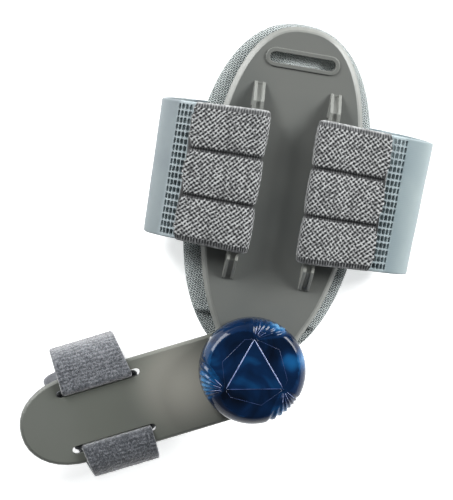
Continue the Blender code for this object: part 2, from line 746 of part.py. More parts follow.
def make_knob(made):
    knob = add_object("knob", stacked_rings("knob", turned_rings(knob_profile(), 48)), made,
                      (PIVOT.x, PIVOT.y, KNOB_Z), sharp=24.0)
    ring = disc_outline(HOLE_RADIUS, 20)
    bore = cutter("knob_bore", stacked_rings("knob_bore", [
        at_height(ring, -0.002), at_height(ring, KNOB_BORE_DEPTH)]), knob.location)
    boolean(knob, bore)

    # Three facets slope down from the sides of a triangle
    middle = TRIANGLE_RADIUS / 2
    slope = math.tan(math.radians(FACET_SLOPE))
    reach = KNOB_RADIUS * 1.2
    for i in range(3):
        turn = TRIANGLE_TURN + 180.0 + 120.0 * i
        wedge = profile_across(f"facet_{i}", [
            (middle, KNOB_HEIGHT), (reach, KNOB_HEIGHT - (reach - middle) * slope),
            (reach, KNOB_HEIGHT + 0.003), (middle, KNOB_HEIGHT + 0.003)], -reach, reach)
        boolean(knob, cutter(f"facet_{i}", wedge, knob.location, turn))

    # Fans of finger flutes, each beside a corner of the triangle
    for i in range(3):
        for k in range(FLUTES):
            turn = TRIANGLE_TURN + 120.0 * i - FLUTE_PITCH * (k + 0.4)
            flute = cutter(f"flute_{i}_{k}", flute_mesh(), knob.location, turn)
            boolean(knob, flute)
    return knob


def flute_mesh():
    """V-shaped cutter that lies along +Y and follows the dome outward and down."""
    dome, rise = KNOB_RADIUS - KNOB_TABLE, KNOB_HEIGHT - KNOB_WALL
    stations = ((86.0, 0.3), (62.0, 0.9), (40.0, 1.0), (18.0, 1.0), (-8.0, 0.8))
    clear = 2.0 * FLUTE_WIDTH
    points = []
    for angle, share in stations:
        turn = math.radians(angle)
        out, up = math.cos(turn), math.sin(turn)
        y, z = KNOB_TABLE + dome * out, KNOB_WALL + rise * up
        depth = FLUTE_DEPTH * share
        half = FLUTE_WIDTH / 2 * share * (1 + clear / FLUTE_DEPTH)
        points += [(0.0, y - depth * out, z - depth * up),
                   (half, y + clear * out, z + clear * up), (-half, y + clear * out, z + clear * up)]
    last = len(points) - 3
    faces = [(0, 2, 1), (last, last + 1, last + 2)]
    for level in range(0, last, 3):
        for i in range(3):
            j = (i + 1) % 3
            faces.append((level + i, level + j, level + 3 + j, level + 3 + i))
    mesh_data = mesh_from("flute", points, faces)
    face_outward(mesh_data)
    return mesh_data


def build():
    clear_scene()
    moulded = material("moulded_grey", (0.16, 0.17, 0.165), 0.5)
    arm_grey = material("arm_grey", (0.15, 0.15, 0.14), 0.5)
    knit = material("pad_knit", (0.27, 0.29, 0.29), 0.95)
    woven = material("ribbed_elastic", (0.22, 0.22, 0.22), 0.95)
    smooth = material("smooth_band", (0.34, 0.40, 0.42), 0.7)
    brushed = material("brushed_strap", (0.10, 0.11, 0.12), 1.0)
    blue = material("knob_blue", (0.01, 0.04, 0.12), 0.12)
    steel = material("screw_steel", (0.5, 0.5, 0.5), 0.35, 1.0)
    make_foot_plate(moulded)
    make_foot_pad(knit)
    make_strap_band(smooth)
    make_panel("elastic_panel_left", -1, woven)
    make_panel("elastic_panel_right", 1, woven)
    make_toe_arm(arm_grey)
    make_toe_strap(brushed)
    make_knob(blue)
    make_pivot_screw(steel)


if __name__ == "__main__":
    build()
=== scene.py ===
"""Looks of the bunion corrector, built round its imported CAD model.

Metres, +Z up, in the CAD frame: the origin is on the floor, +Y runs along the plate from
the knob to the spare slot. Hard plate and arm keep their CAD nodes with a dressed surface;
soft goods and the knob are built here and stand for their CAD nodes.
"""

import logging
import math
from collections.abc import Callable
from dataclasses import dataclass, field
from enum import Enum
from functools import partial

import bmesh
import bpy
import numpy as np
from mathutils import Matrix, Vector


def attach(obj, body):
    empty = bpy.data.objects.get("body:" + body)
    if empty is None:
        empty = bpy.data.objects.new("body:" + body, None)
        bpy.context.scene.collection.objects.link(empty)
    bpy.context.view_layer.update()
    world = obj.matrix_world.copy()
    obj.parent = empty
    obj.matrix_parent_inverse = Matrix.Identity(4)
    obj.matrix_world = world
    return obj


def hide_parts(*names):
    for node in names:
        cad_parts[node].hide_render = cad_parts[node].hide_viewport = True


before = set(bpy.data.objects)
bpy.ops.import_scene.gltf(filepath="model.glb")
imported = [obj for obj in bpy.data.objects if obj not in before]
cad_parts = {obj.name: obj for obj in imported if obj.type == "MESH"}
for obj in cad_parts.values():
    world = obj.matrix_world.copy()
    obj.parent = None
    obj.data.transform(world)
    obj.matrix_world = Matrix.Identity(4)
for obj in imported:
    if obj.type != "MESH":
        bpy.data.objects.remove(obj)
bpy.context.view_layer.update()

LOG = logging.getLogger("bunion_corrector")
Point = tuple[float, float]
Spot = tuple[float, float, float]
Face = tuple[int, ...]
Adder = Callable[..., bpy.types.Node]
TURN = 2 * math.pi


class Body(str, Enum):
    """CAD bodies that a piece can ride on."""

    FOOT = "foot"
    ARM = "arm"
    DIAL = "dial"


class Side(Enum):
    """Side of the plate, as the sign of its X."""

    LEFT = -1
    RIGHT = 1


class Slot(str, Enum):
    """Material slots of the record."""

    MOULDED = "moulded_grey"
    KNIT = "mesh_knit"
    SMOOTH = "smooth_elastic"
    RIBBED = "ribbed_elastic"
    BRUSHED = "brushed_fabric"
    GLOSS = "blue_gloss"
    STEEL = "screw_steel"


@dataclass(frozen=True)
class Stack:
    """Heights and thicknesses of the layers, as the CAD model has them."""

    gap: float = 0.0003
    band: float = 0.0016
    foot_space: float = 0.0082
    pad: float = 0.0082
    plate: float = 0.0026
    arm: float = 0.0026
    rail_gap: float = 0.0034
    rail_bar: float = 0.0026
    panel: float = 0.0018
    panel_drop: float = 0.0018
    pivot_y: float = -0.0580

    @property
    def pad_base(self) -> float:
        """Height of the pad's underside."""
        return self.band + self.foot_space

    @property
    def pad_top(self) -> float:
        """Height of the pad's upper side."""
        return self.pad_base + self.pad

    @property
    def plate_top(self) -> float:
        """Height of the plate's outer face."""
        return self.pad_top + self.gap + self.plate

    @property
    def arm_base(self) -> float:
        """Height of the arm's underside."""
        return self.pad_top - self.arm

    @property
    def bar(self) -> float:
        """Height of the underside of a rail's bar."""
        return self.plate_top + self.rail_gap

    @property
    def bar_top(self) -> float:
        """Height of the top of a rail's bar."""
        return self.bar + self.rail_bar

    @property
    def panel_mid(self) -> float:
        """Height of the middle of a panel over its rail."""
        return self.bar_top + self.gap + self.panel / 2

    @property
    def roll_top(self) -> float:
        """Height of the middle of the band on its upper run."""
        return self.panel_mid - self.panel_drop - self.panel / 2 - self.gap - self.band / 2

    @property
    def knob_base(self) -> float:
        """Height of the knob's underside."""
        return self.plate_top + self.gap


STACK = Stack()


# Colour and nodes

def linear(code: str) -> tuple[float, float, float, float]:
    """Turn an sRGB hex value into a linear colour.

    Args:
        code: a hash and six hex digits.

    Returns:
        Red, green, blue and full opacity.
    """
    parts = [int(code[i:i + 2], 16) / 255 for i in (1, 3, 5)]
    red, green, blue = [p / 12.92 if p <= 0.04045 else ((p + 0.055) / 1.055) ** 2.4 for p in parts]
    return red, green, blue, 1.0


def add_node(tree: bpy.types.NodeTree, kind: str, feeds: dict | tuple = (),
             stops: tuple[tuple[float, str], ...] = (), **settings: object) -> bpy.types.Node:
    """Add a shader node with its settings and links.

    Args:
        tree: the tree that it goes into.
        kind: the node's type, without ShaderNode.
        feeds: input name to a value, to the socket that feeds it, or to a node whose first
            output in use feeds it; or a row of these for the first inputs.
        stops: place and hex colour of each stop, for a colour ramp.
        settings: the node's own properties.

    Returns:
        The node.
    """
    made = tree.nodes.new("ShaderNode" + kind)
    for key, value in settings.items():
        setattr(made, key, value)
    for key, value in feeds.items() if isinstance(feeds, dict) else enumerate(feeds):
        if isinstance(value, bpy.types.Node):
            value = next(socket for socket in value.outputs if socket.enabled)
        if isinstance(value, bpy.types.NodeSocket):
            tree.links.new(value, made.inputs[key])
        else:
            made.inputs[key].default_value = value
    for i, (place, code) in enumerate(stops):
        ramp = made.color_ramp.elements
        stop = ramp[i] if i < 2 else ramp.new(place)
        stop.position = place
        stop.color = linear(code)
    return made


@dataclass(frozen=True)
class Finish:
    """What every finish has: a name, a roughness, and a surface that its own class draws."""

    name: str = "plain"
    roughness: float = 0.5

    def surface(self, add: Adder) -> dict:
        """Add the finish's own nodes.

        Args:
            add: adds one node to the material's tree.

        Returns:
            Inputs of the shader, besides its roughness.
        """
        raise NotImplementedError

    def build(self) -> bpy.types.Material:
        """Make the material."""
        made = bpy.data.materials.new(self.name)
        made.use_nodes = True
        made.node_tree.nodes.clear()
        add = partial(add_node, made.node_tree)
        inputs = {"Roughness": self.roughness} | self.surface(add)
        add("OutputMaterial", {"Surface": add("BsdfPrincipled", inputs)})
        return made


# Meshes

def ring_faces(rows: int, columns: int, close_rows: bool = False) -> list[Face]:
    """Quads of a grid of points whose rows are rings.

    Args:
        rows: number of rows.
        columns: points in a row.
        close_rows: join the last row to the first.

    Returns:
        One tuple of point numbers for each face.
    """
    i = np.arange(rows if close_rows else rows - 1)[:, None]
    j = np.arange(columns)[None, :]
    ahead, beside = (i + 1) % rows, (j + 1) % columns
    quads = np.stack([i * columns + j, i * columns + beside, ahead * columns + beside,
                      ahead * columns + j], axis=-1)
    return [tuple(quad) for quad in quads.reshape(-1, 4).tolist()]


def end_caps(rows: int, columns: int) -> list[Face]:
    """One face over the first row of a grid of points, and one over its last."""
    return [tuple(range(columns)), tuple(range((rows - 1) * columns, rows * columns))]


def new_mesh(name: str, points: np.ndarray, faces: list[Face]) -> bpy.types.Mesh:
    """Make a mesh whose faces all look outward.

    Args:
        name: the mesh's name.
        points: one row of x, y and z for each point.
        faces: point numbers of each face.

    Returns:
        The mesh, shaded smooth.
    """
    made = bpy.data.meshes.new(name)
    made.from_pydata(np.asarray(points, float).reshape(-1, 3).tolist(), [], faces)
    shape = bmesh.new()
    shape.from_mesh(made)
    bmesh.ops.recalc_face_normals(shape, faces=shape.faces)
    shape.to_mesh(made)
    shape.free()
    made.shade_smooth()
    return made


def mesh_points(mesh: bpy.types.Mesh) -> np.ndarray:
    """Points of a mesh, one row for each."""
    return np.array([v.co for v in mesh.vertices])


def move_points(mesh: bpy.types.Mesh, points: np.ndarray) -> None:
    """Move a mesh's points to new places."""
    mesh.vertices.foreach_set("co", points.astype(np.float32).ravel())
    mesh.update()


def put_values(mesh: bpy.types.Mesh, name: str, values: np.ndarray) -> None:
    """Store one number for each point of a mesh.

    Args:
        mesh: the mesh.
        name: the attribute's name.
        values: one number for each point.
    """
    store = mesh.attributes.new(name, "FLOAT", "POINT")
    store.data.foreach_set("value", np.asarray(values, np.float32).ravel())


def add_object(name: str, data: bpy.types.ID) -> bpy.types.Object:
    """Put an object with its data in the scene."""
    made = bpy.data.objects.new(name, data)
    bpy.context.scene.collection.objects.link(made)
    return made


def place(name: str, mesh: bpy.types.Mesh, finish: bpy.types.Material, body: Body, slot: Slot,
          stands_for: tuple[str, ...] = (), sharp: float = 0.0) -> bpy.types.Object:
    """Put a piece in the scene, on its CAD body.

    Args:
        name: the piece's name.
        mesh: its mesh, already in place.
        finish: its material.
        body: the body it rides on.
        slot: not used.
        stands_for: CAD nodes that it replaces.
        sharp: degrees past which an edge is shaded sharp, or 0 for none.

    Returns:
        The object.
    """
    piece = add_object(name, mesh)
    mesh.materials.append(finish)
    if sharp:
        mesh.set_sharp_from_angle(angle=math.radians(sharp))
    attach(piece, body.value)
    if stands_for:
        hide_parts(*stands_for)
    return piece


def dress_node(name: str, finish: Finish) -> bpy.types.Object:
    """Give a CAD node its finish.

    Args:
        name: the node's name.
        finish: its finish.

    Returns:
        The CAD node.
    """
    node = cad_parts[name]
    node.data.materials.clear()
    node.data.materials.append(finish.build())
    return node


def eased(share: np.ndarray | float) -> np.ndarray | float:
    """Ease a share from 0 to 1, level at both ends."""
    return share * share * (3 - 2 * share)


def heading(turn: float) -> np.ndarray:
    """Unit x and y, that many radians anticlockwise from +Y."""
    return np.array([-math.sin(turn), math.cos(turn)])


def unit(rows: np.ndarray) -> np.ndarray:
    """Rows brought to a length of 1."""
    return rows / np.linalg.norm(rows, axis=1, keepdims=True)


def lattice_noise(u: np.ndarray, v: np.ndarray, cell: float, seed: int) -> np.ndarray:
    """Smooth noise over a surface.

    Args:
        u: first coordinate.
        v: second coordinate.
        cell: width of one cell, in the coordinates' unit.
        seed: which noise.

    Returns:
        Numbers from 0 to 1.
    """
    size = 61
    table = np.random.default_rng(seed).random((size, size))
    a, b = np.asarray(u) / cell, np.asarray(v) / cell
    i, j = np.floor(a).astype(int), np.floor(b).astype(int)
    s, t = eased(a - i), eased(b - j)
    low = table[i % size, j % size] * (1 - s) + table[(i + 1) % size, j % size] * s
    high = table[i % size, (j + 1) % size] * (1 - s) + table[(i + 1) % size, (j + 1) % size] * s
    return low * (1 - t) + high * t


def run_lengths(points: np.ndarray) -> np.ndarray:
    """Distance along a path to each of its points."""
    return np.concatenate([[0], np.cumsum(np.linalg.norm(np.diff(points, axis=0), axis=1))])


def points_at(path: np.ndarray, along: np.ndarray, places: np.ndarray) -> np.ndarray:
    """Points between those of a path.

    Args:
        path: the path's own points.
        along: distance along the path to each of them.
        places: distances of the points that are wanted.

    Returns:
        One row for each place.
    """
    return np.stack([np.interp(places, along, path[:, k]) for k in (0, 1)], axis=1)


def evened(path: list[Point], step: float, closed: bool = False) -> np.ndarray:
    """Points along a path, a step apart.

    Args:
        path: the path's own points.
        step: distance wanted between two points.
        closed: the path ends where it starts.

    Returns:
        One row for each point.
    """
    points = np.array(path + path[:1] if closed else path, float)
    along = run_lengths(points)
    count = max(2, int(round(along[-1] / step)))
    places = np.linspace(0, along[-1], count + 1)
    return points_at(points, along, places[:-1] if closed else places)


def normals_of(points: np.ndarray, closed: bool = False, spread: int = 1) -> np.ndarray:
    """Unit normals on the left of a path.

    Args:
        points: the path's points.
        closed: the path ends where it starts.
        spread: how many points on each side a normal looks at.

    Returns:
        One row for each point.
    """
    if closed:
        along = np.roll(points, -spread, axis=0) - np.roll(points, spread, axis=0)
    else:
        padded = np.concatenate([np.repeat(points[:1], spread, axis=0), points,
                                 np.repeat(points[-1:], spread, axis=0)])
        along = padded[2 * spread:] - padded[:-2 * spread]
    along = unit(along)
    return np.stack([-along[:, 1], along[:, 0]], axis=1)


def strip_section(half: float, rim: float, tops: int, lows: int,
                  turn: np.ndarray) -> tuple[np.ndarray, np.ndarray]:
    """Closed cross-section of a flat strip with rounded edges.

    Args:
        half: half of its width.
        rim: width of each rounded edge.
        tops: points on its upper side.
        lows: points on its lower side.
        turn: radians of the points round an edge, from its top down.

    Returns:
        Place across the strip, and share of half of its thickness, of each point.
    """
    flat, edge = half - rim, half - rim + rim * np.cos(turn)
    across = np.concatenate([np.linspace(-flat, flat, tops), edge,
                             np.linspace(flat, -flat, lows), -edge[::-1]])
    level = np.concatenate([np.ones(tops), np.sin(turn), -np.ones(lows), np.sin(turn)[::-1]])
    return across, level


# Finishes

@dataclass(frozen=True)
class MouldedAbs(Finish):
    """Injection-moulded ABS with a fine eroded grain: an even satin grey. Its rounded edges, its sloping
    faces and the forks at its rails' ends are painted paler, painted light; it is also paler above a given
    height."""

    name: str = "moulded ABS, satin grey"
    roughness: float = 0.46
    colour: str = "#5d5f5c"
    cooler: str = "#545755"
    rubbed: str = "#858782"
    ior: float = 1.53
    mottle: float = 0.028         # metres across a patch of one grey
    grain: float = 0.00025        # metres; real mould grain is 0.05 mm, drawn coarser to show
    edge: float = 0.00035         # metres, radius of the rounded edges
    raised_from: float = 0.0218   # height above which the moulding is made paler
    raised_over: float = 0.0006   # metres of height over which that comes in
    sloped: float = 0.55          # how much paler its sloping faces are, painted light
    fork: Point = (0.0121, 0.0268)          # middle of the forks at the rails' ends, painted paler: painted light in their shaded recesses
    fork_half: Point = (0.0017, 0.0042)     # half of a fork's width and length
    fork_fade: float = 0.020      # metres each way, over which the forks' painted light grows toward the knob
    # Spot of painted highlight, a soft paler patch; far off by default, so it paints nothing.
    handled: Spot = (0.0, 0.0, 1.0)
    handled_reach: float = 0.01   # metres round the spot of painted highlight
    handled_tone: str = "#b3b1a7"

    def surface(self, add: Adder) -> dict:
        """Two greys; painted light makes edges, forks and slopes paler, a painted highlight lightens one
        spot, and the moulding is paler above a height.

        Args:
            add: adds one node to the tree.

        Returns:
            Inputs of the shader.
        """
        where = add("TexCoord").outputs["Object"]
        cloud = add("TexNoise", {"Vector": where, "Scale": 1 / self.mottle, "Detail": 2.0})
        base = add("ValToRGB", {"Fac": cloud}, ((0.35, self.cooler), (0.65, self.colour)))
        soft = add("Bevel", {"Radius": self.edge}, samples=4)
        normal = add("NewGeometry").outputs["Normal"]
        turned = add("VectorMath", (soft, normal), operation="DOT_PRODUCT")
        # Rounded edges made paler: painted highlight.
        rubbed = add("MapRange", {"Value": turned, "From Min": 0.995, "From Max": 0.80,
                                  "To Max": 0.75})
        spot = add("SeparateXYZ", (where,)).outputs
        # Paler above a given height.
        raised = add("MapRange", {"Value": spot["Z"], "From Min": self.raised_from,
                                  "From Max": self.raised_from + self.raised_over,
                                  "To Max": 0.35})
        upright = add("SeparateXYZ", (normal,)).outputs["Z"]
        # Sloping faces made paler: painted light.
        slope = add("MapRange", {"Value": upright, "From Min": 0.97, "From Max": 0.75,
                                 "To Max": self.sloped})
        # Forks at the rails' ends made paler, most toward the knob: painted light in their shaded recesses.
        paler = add("MapRange", {"Value": spot["Y"], "From Min": self.fork_fade,
                                 "From Max": -self.fork_fade, "To Min": 0.30})
        for axis, middle, half in zip("XY", self.fork, self.fork_half):
            away = add("Math", (spot[axis],), operation="ABSOLUTE")
            near = add("Math", (away, middle, half), operation="COMPARE")
            paler = add("Math", (near, paler), operation="MULTIPLY")
        for other in (raised, rubbed, slope):
            paler = add("Math", (paler, other), operation="MAXIMUM")
        # Painted highlight: a paler patch round one spot.
        to_hand = add("VectorMath", (where, self.handled), operation="DISTANCE")
        touched = add("MapRange", {"Value": to_hand, "From Min": self.handled_reach,
                                   "From Max": 0.0, "To Max": 0.75},
                      interpolation_type="SMOOTHSTEP")
        ground = add("Mix", {"Factor": touched, "A": base, "B": linear(self.handled_tone)},
                     data_type="RGBA")
        colour = add("Mix", {"Factor": paler, "A": ground, "B": linear(self.rubbed)},
                     data_type="RGBA")
        grain = add("TexNoise", {"Vector": where, "Scale": 1 / self.grain, "Detail": 1.0})
        bump = add("Bump", {"Height": grain, "Strength": 0.12, "Distance": 0.00004,
                            "Normal": soft})
        rough = add("MapRange", {"Value": cloud, "To Min": self.roughness + 0.05,
                                 "To Max": self.roughness - 0.05})
        return {"Base Color": colour, "Roughness": rough, "IOR": self.ior, "Normal": bump}


@dataclass(frozen=True)
class SpacerKnit(Finish):
    """Polyester spacer knit over foam: rows of small slanted loops, matt; painted highlight lightens
    the loops' tops and painted shade darkens the ground between them."""

    name: str = "spacer knit, polyester"
    roughness: float = 0.85
    ground: str = "#282f31"
    yarn: str = "#697170"
    lit: str = "#b4bbba"
    wale: float = 0.00084         # metres between two columns of loops
    course: float = 0.00078       # metres between two loops
    uneven: Point = (0.004, 0.0006)         # width and depth of the columns' wander, metres
    fray: float = 0.0007          # metres across a frayed spot
    slot: Spot = (0.0, 0.0418, 0.018)       # painted paler here: painted light in the slot's shaded recess
    slot_squeeze: float = 0.32    # the slot is long in x, so x counts less

    def loops(self, add: Adder, across: bpy.types.NodeSocket,
              along: bpy.types.NodeSocket) -> bpy.types.Node:
        """Height of the loops.

        Args:
            add: adds one node to the tree.
            across: metres across the columns.
            along: metres along the columns.

        Returns:
            The node that gives heights from 0 to 1.
        """
        column = add("Math", (across, self.wale), operation="DIVIDE")
        fold = add("Math", (column, 1.0), operation="PINGPONG")
        row = add("Math", (along, self.course), operation="DIVIDE")
        slanted = add("Math", (fold, -1.1, row), operation="MULTIPLY_ADD")
        phase = add("Math", (slanted, TURN), operation="MULTIPLY")
        wave = add("Math", (phase,), operation="SINE")
        edge = add("Math", (column, math.pi), operation="MULTIPLY")
        crest = add("Math", (edge,), operation="SINE")
        ridge = add("Math", (crest,), operation="ABSOLUTE")
        height = add("Math", (wave, 0.36, 0.34), operation="MULTIPLY_ADD")
        return add("Math", (ridge, 0.34, height), operation="MULTIPLY_ADD")

    def surface(self, add: Adder) -> dict:
        """Loops over the flat sides and round the rim, painted paler by the slot.

        Args:
            add: adds one node to the tree.

        Returns:
            Inputs of the shader.
        """
        spot = add("TexCoord")
        where = spot.outputs["Object"]
        width, depth = self.uneven
        warp = add("TexNoise", {"Vector": where, "Scale": 1 / width, "Detail": 1.0})
        moved = add("VectorMath", (warp.outputs["Color"], (depth,) * 3, where),
                    operation="MULTIPLY_ADD")
        axes = add("SeparateXYZ", (moved,)).outputs
        edge_run = add("Attribute", attribute_name="edge_run").outputs["Fac"]
        upright = add("SeparateXYZ", (spot.outputs["Normal"],)).outputs["Z"]
        steep = add("Math", (upright,), operation="ABSOLUTE")
        share = add("MapRange", {"Value": steep, "From Min": 0.22, "From Max": 0.36})
        loops = add("Mix", {"Factor": share, "A": self.loops(add, axes["Z"], edge_run),
                            "B": self.loops(add, axes["X"], axes["Y"])})
        fray = add("TexNoise", {"Vector": where, "Scale": 1 / self.fray, "Detail": 2.0})
        tone = add("Math", (fray, 0.55, loops), operation="MULTIPLY_ADD")
        squeezed = add("VectorMath", (where, (self.slot_squeeze, 1.0, 1.0)),
                       operation="MULTIPLY")
        to_slot = add("VectorMath", (squeezed, self.slot), operation="DISTANCE")
        # Painted light: paler in the slot's shaded recess, a little darker everywhere else.
        worn = add("MapRange", {"Value": to_slot, "From Min": 0.0046, "From Max": 0.0036,
                                "To Min": 0.25, "To Max": -0.10})
        level = add("Math", (tone, worn), operation="SUBTRACT")
        # Tones by the loops' height: painted shade on the ground, painted highlight on the loops' tops.
        colour = add("ValToRGB", {"Fac": level},
                     ((0.18, self.ground), (0.52, self.yarn), (0.86, self.lit)))
        bump = add("Bump", {"Height": loops, "Strength": 0.8, "Distance": 0.00025})
        return {"Base Color": colour, "Sheen Weight": 0.15, "Sheen Roughness": 0.5,
                "Normal": bump}


@dataclass(frozen=True)
class WovenElastic(Finish):
    """Coarse covered-rubber elastic, woven: pale bulky yarns with openings between them, matt and
    slightly fuzzy; painted shade darkens the openings and painted highlight lightens the crowns."""

    name: str = "woven elastic, covered rubber"
    roughness: float = 0.82
    opening: str = "#07080a"
    shade: str = "#191b1d"
    yarn: str = "#4e4f50"
    crown: str = "#a3a5a5"
    fibre: float = 0.00022        # metres; real fibres are 0.02 mm, drawn coarser to show
    fuzz: float = 0.22            # how far the fibres shift the tone

    def surface(self, add: Adder) -> dict:
        """Tones by the depth of the weave, with painted shade in the openings and painted highlight on the
        crowns, and the fibres' fuzz.

        Args:
            add: adds one node to the tree.

        Returns:
            Inputs of the shader.
        """
        where = add("TexCoord").outputs["Object"]
        relief = add("Attribute", attribute_name="relief").outputs["Fac"]
        fibre = add("TexNoise", {"Vector": where, "Scale": 1 / self.fibre, "Detail": 2.0})
        uneven = add("Math", (fibre, self.fuzz, relief), operation="MULTIPLY_ADD")
        level = add("Math", (uneven, self.fuzz / 2), operation="SUBTRACT")
        # Painted shade in the openings, painted highlight on the crowns.
        colour = add("ValToRGB", {"Fac": level},
                     ((0.18, self.opening), (0.42, self.shade), (0.68, self.yarn),
                      (0.92, self.crown)))
        bump = add("Bump", {"Height": fibre, "Strength": 0.5, "Distance": 0.00008})
        return {"Base Color": colour, "Sheen Weight": 0.2, "Sheen Roughness": 0.4,
                "Normal": bump}


@dataclass(frozen=True)
class SmoothElastic(Finish):
    """Smooth knitted nylon elastic: a soft blue-grey with a faint fine rib, made lighter toward +X by
    painted light, with a painted sheen at the folds."""

    name: str = "knitted elastic, smooth nylon"
    roughness: float = 0.58
    # The band's tone from left to right; the difference is painted light.
    left: str = "#59636a"
    right: str = "#65747a"
    # Paler tone for the faded patches and for the painted sheen at the folds.
    worn: str = "#7f8b8b"
    thread: str = "#98a4a8"
    net: Point = (0.0328, 0.0024)           # middle and half width of the pierced strip
    folds: Point = (0.032, 0.044)           # where the painted sheen at the outer folds starts and ends
    rib: float = 0.0006           # metres; real ribs are 0.3 mm apart, drawn coarser to show
    fibre: float = 0.0003         # metres; real fibres are 0.02 mm, drawn coarser to show
    veil: float = 0.009           # metres across a faded patch

    def surface(self, add: Adder) -> dict:
        """Painted light across the band, faded patches, painted sheen at the folds, paler net threads and
        ribs.

        Args:
            add: adds one node to the tree.

        Returns:
            Inputs of the shader.
        """
        where = add("TexCoord").outputs["Object"]
        axes = add("SeparateXYZ", (where,)).outputs
        # Painted light: the band is lighter toward +X.
        across = add("MapRange", {"Value": axes["X"], "From Min": -0.03, "From Max": 0.03})
        dyed = add("Mix", {"Factor": across, "A": linear(self.left), "B": linear(self.right)},
                   data_type="RGBA")
        # Painted sheen: paler toward the outer folds.
        reach = add("Math", (axes["X"],), operation="ABSOLUTE")
        outside = add("MapRange", {"Value": reach, "From Min": self.folds[0],
                                   "From Max": self.folds[1], "To Max": 0.55})
        cloud = add("TexNoise", {"Vector": where, "Scale": 1 / self.veil, "Detail": 2.0})
        veil = add("MapRange", {"Value": cloud, "From Min": 0.4, "From Max": 0.8, "To Max": 0.3})
        middle, half = self.net
        off_net = add("Math", (reach, middle), operation="SUBTRACT")
        from_net = add("Math", (off_net,), operation="ABSOLUTE")
        pierced = add("MapRange", {"Value": from_net, "From Min": half + 0.0014,
                                   "From Max": half - 0.0006, "To Max": 0.8},
                      interpolation_type="SMOOTHSTEP")
        threads = add("Mix", {"Factor": pierced, "A": dyed, "B": linear(self.thread)},
                      data_type="RGBA")
        # Faded patches, which are random, and the painted sheen at the folds.
        faded = add("Math", (veil, outside), operation="ADD")
        colour = add("Mix", {"Factor": faded, "A": threads, "B": linear(self.worn)},
                     data_type="RGBA")
        phase = add("Math", (axes["Y"], TURN / self.rib), operation="MULTIPLY")
        ribs = add("Math", (phase,), operation="SINE")
        fibre = add("TexNoise", {"Vector": where, "Scale": 1 / self.fibre, "Detail": 2.0})
        height = add("Math", (ribs, 0.25, fibre), operation="MULTIPLY_ADD")
        bump = add("Bump", {"Height": height, "Strength": 0.2, "Distance": 0.00006})
        return {"Base Color": colour, "Sheen Weight": 0.25, "Sheen Roughness": 0.35,
                "Normal": bump}


@dataclass(frozen=True)
class BrushedPile(Finish):
    """Brushed loop pile, nylon: a dense mat of short dark fibres in faint rows, matt, with
    pale tips that catch the light."""

    name: str = "brushed loop pile, nylon"
    roughness: float = 0.95
    depth: str = "#2d3035"
    fibre: str = "#54575c"
    tip: str = "#83858a"
    tuft: float = 0.00045         # metres across one tuft
    length: Point = (-0.088, -0.060)        # y of the end darkened by painted shade and of the pale end
    turned: Spot = (-0.0602, -0.0714, 0.001)          # paler turn: painted light on the curled edge
    turned_reach: Point = (0.0075, 0.0050)            # metres round it, outer and inner

    def surface(self, add: Adder) -> dict:
        """Tufts and relief, with painted shade toward one end and painted light at the turn.

        Args:
            add: adds one node to the tree.

        Returns:
            Inputs of the shader.
        """
        where = add("TexCoord").outputs["Object"]
        relief = add("Attribute", attribute_name="relief").outputs["Fac"]
        tufts = add("TexNoise", {"Vector": where, "Scale": 1 / self.tuft, "Detail": 3.0,
                                 "Roughness": 0.7})
        mixed = add("Math", (relief, 0.55, tufts), operation="MULTIPLY_ADD")
        y = add("SeparateXYZ", (where,)).outputs["Y"]
        # Painted shade: darker toward the dark end, where the strap lies in shade.
        aged = add("MapRange", {"Value": y, "From Min": self.length[0],
                                "From Max": self.length[1], "To Min": 0.38, "To Max": 0.24})
        # Painted light: paler round the curled turn.
        to_turn = add("VectorMath", (where, self.turned), operation="DISTANCE")
        paler = add("MapRange", {"Value": to_turn, "From Min": self.turned_reach[0],
                                 "From Max": self.turned_reach[1], "To Max": 0.32})
        shift = add("Math", (aged, paler), operation="SUBTRACT")
        level = add("Math", (mixed, shift), operation="SUBTRACT")
        # Tones by the pile's height: painted shade in its depths, painted highlight on its tips.
        colour = add("ValToRGB", {"Fac": level},
                     ((0.30, self.depth), (0.50, self.fibre), (0.74, self.tip)))
        bump = add("Bump", {"Height": tufts, "Strength": 0.9, "Distance": 0.0003})
        return {"Base Color": colour, "Sheen Weight": 0.7, "Sheen Roughness": 0.45,
                "Normal": bump}


@dataclass(frozen=True)
class Cloud:
    """A paler cloud inside the resin."""

    x: float
    y: float
    radius: float
    strength: float


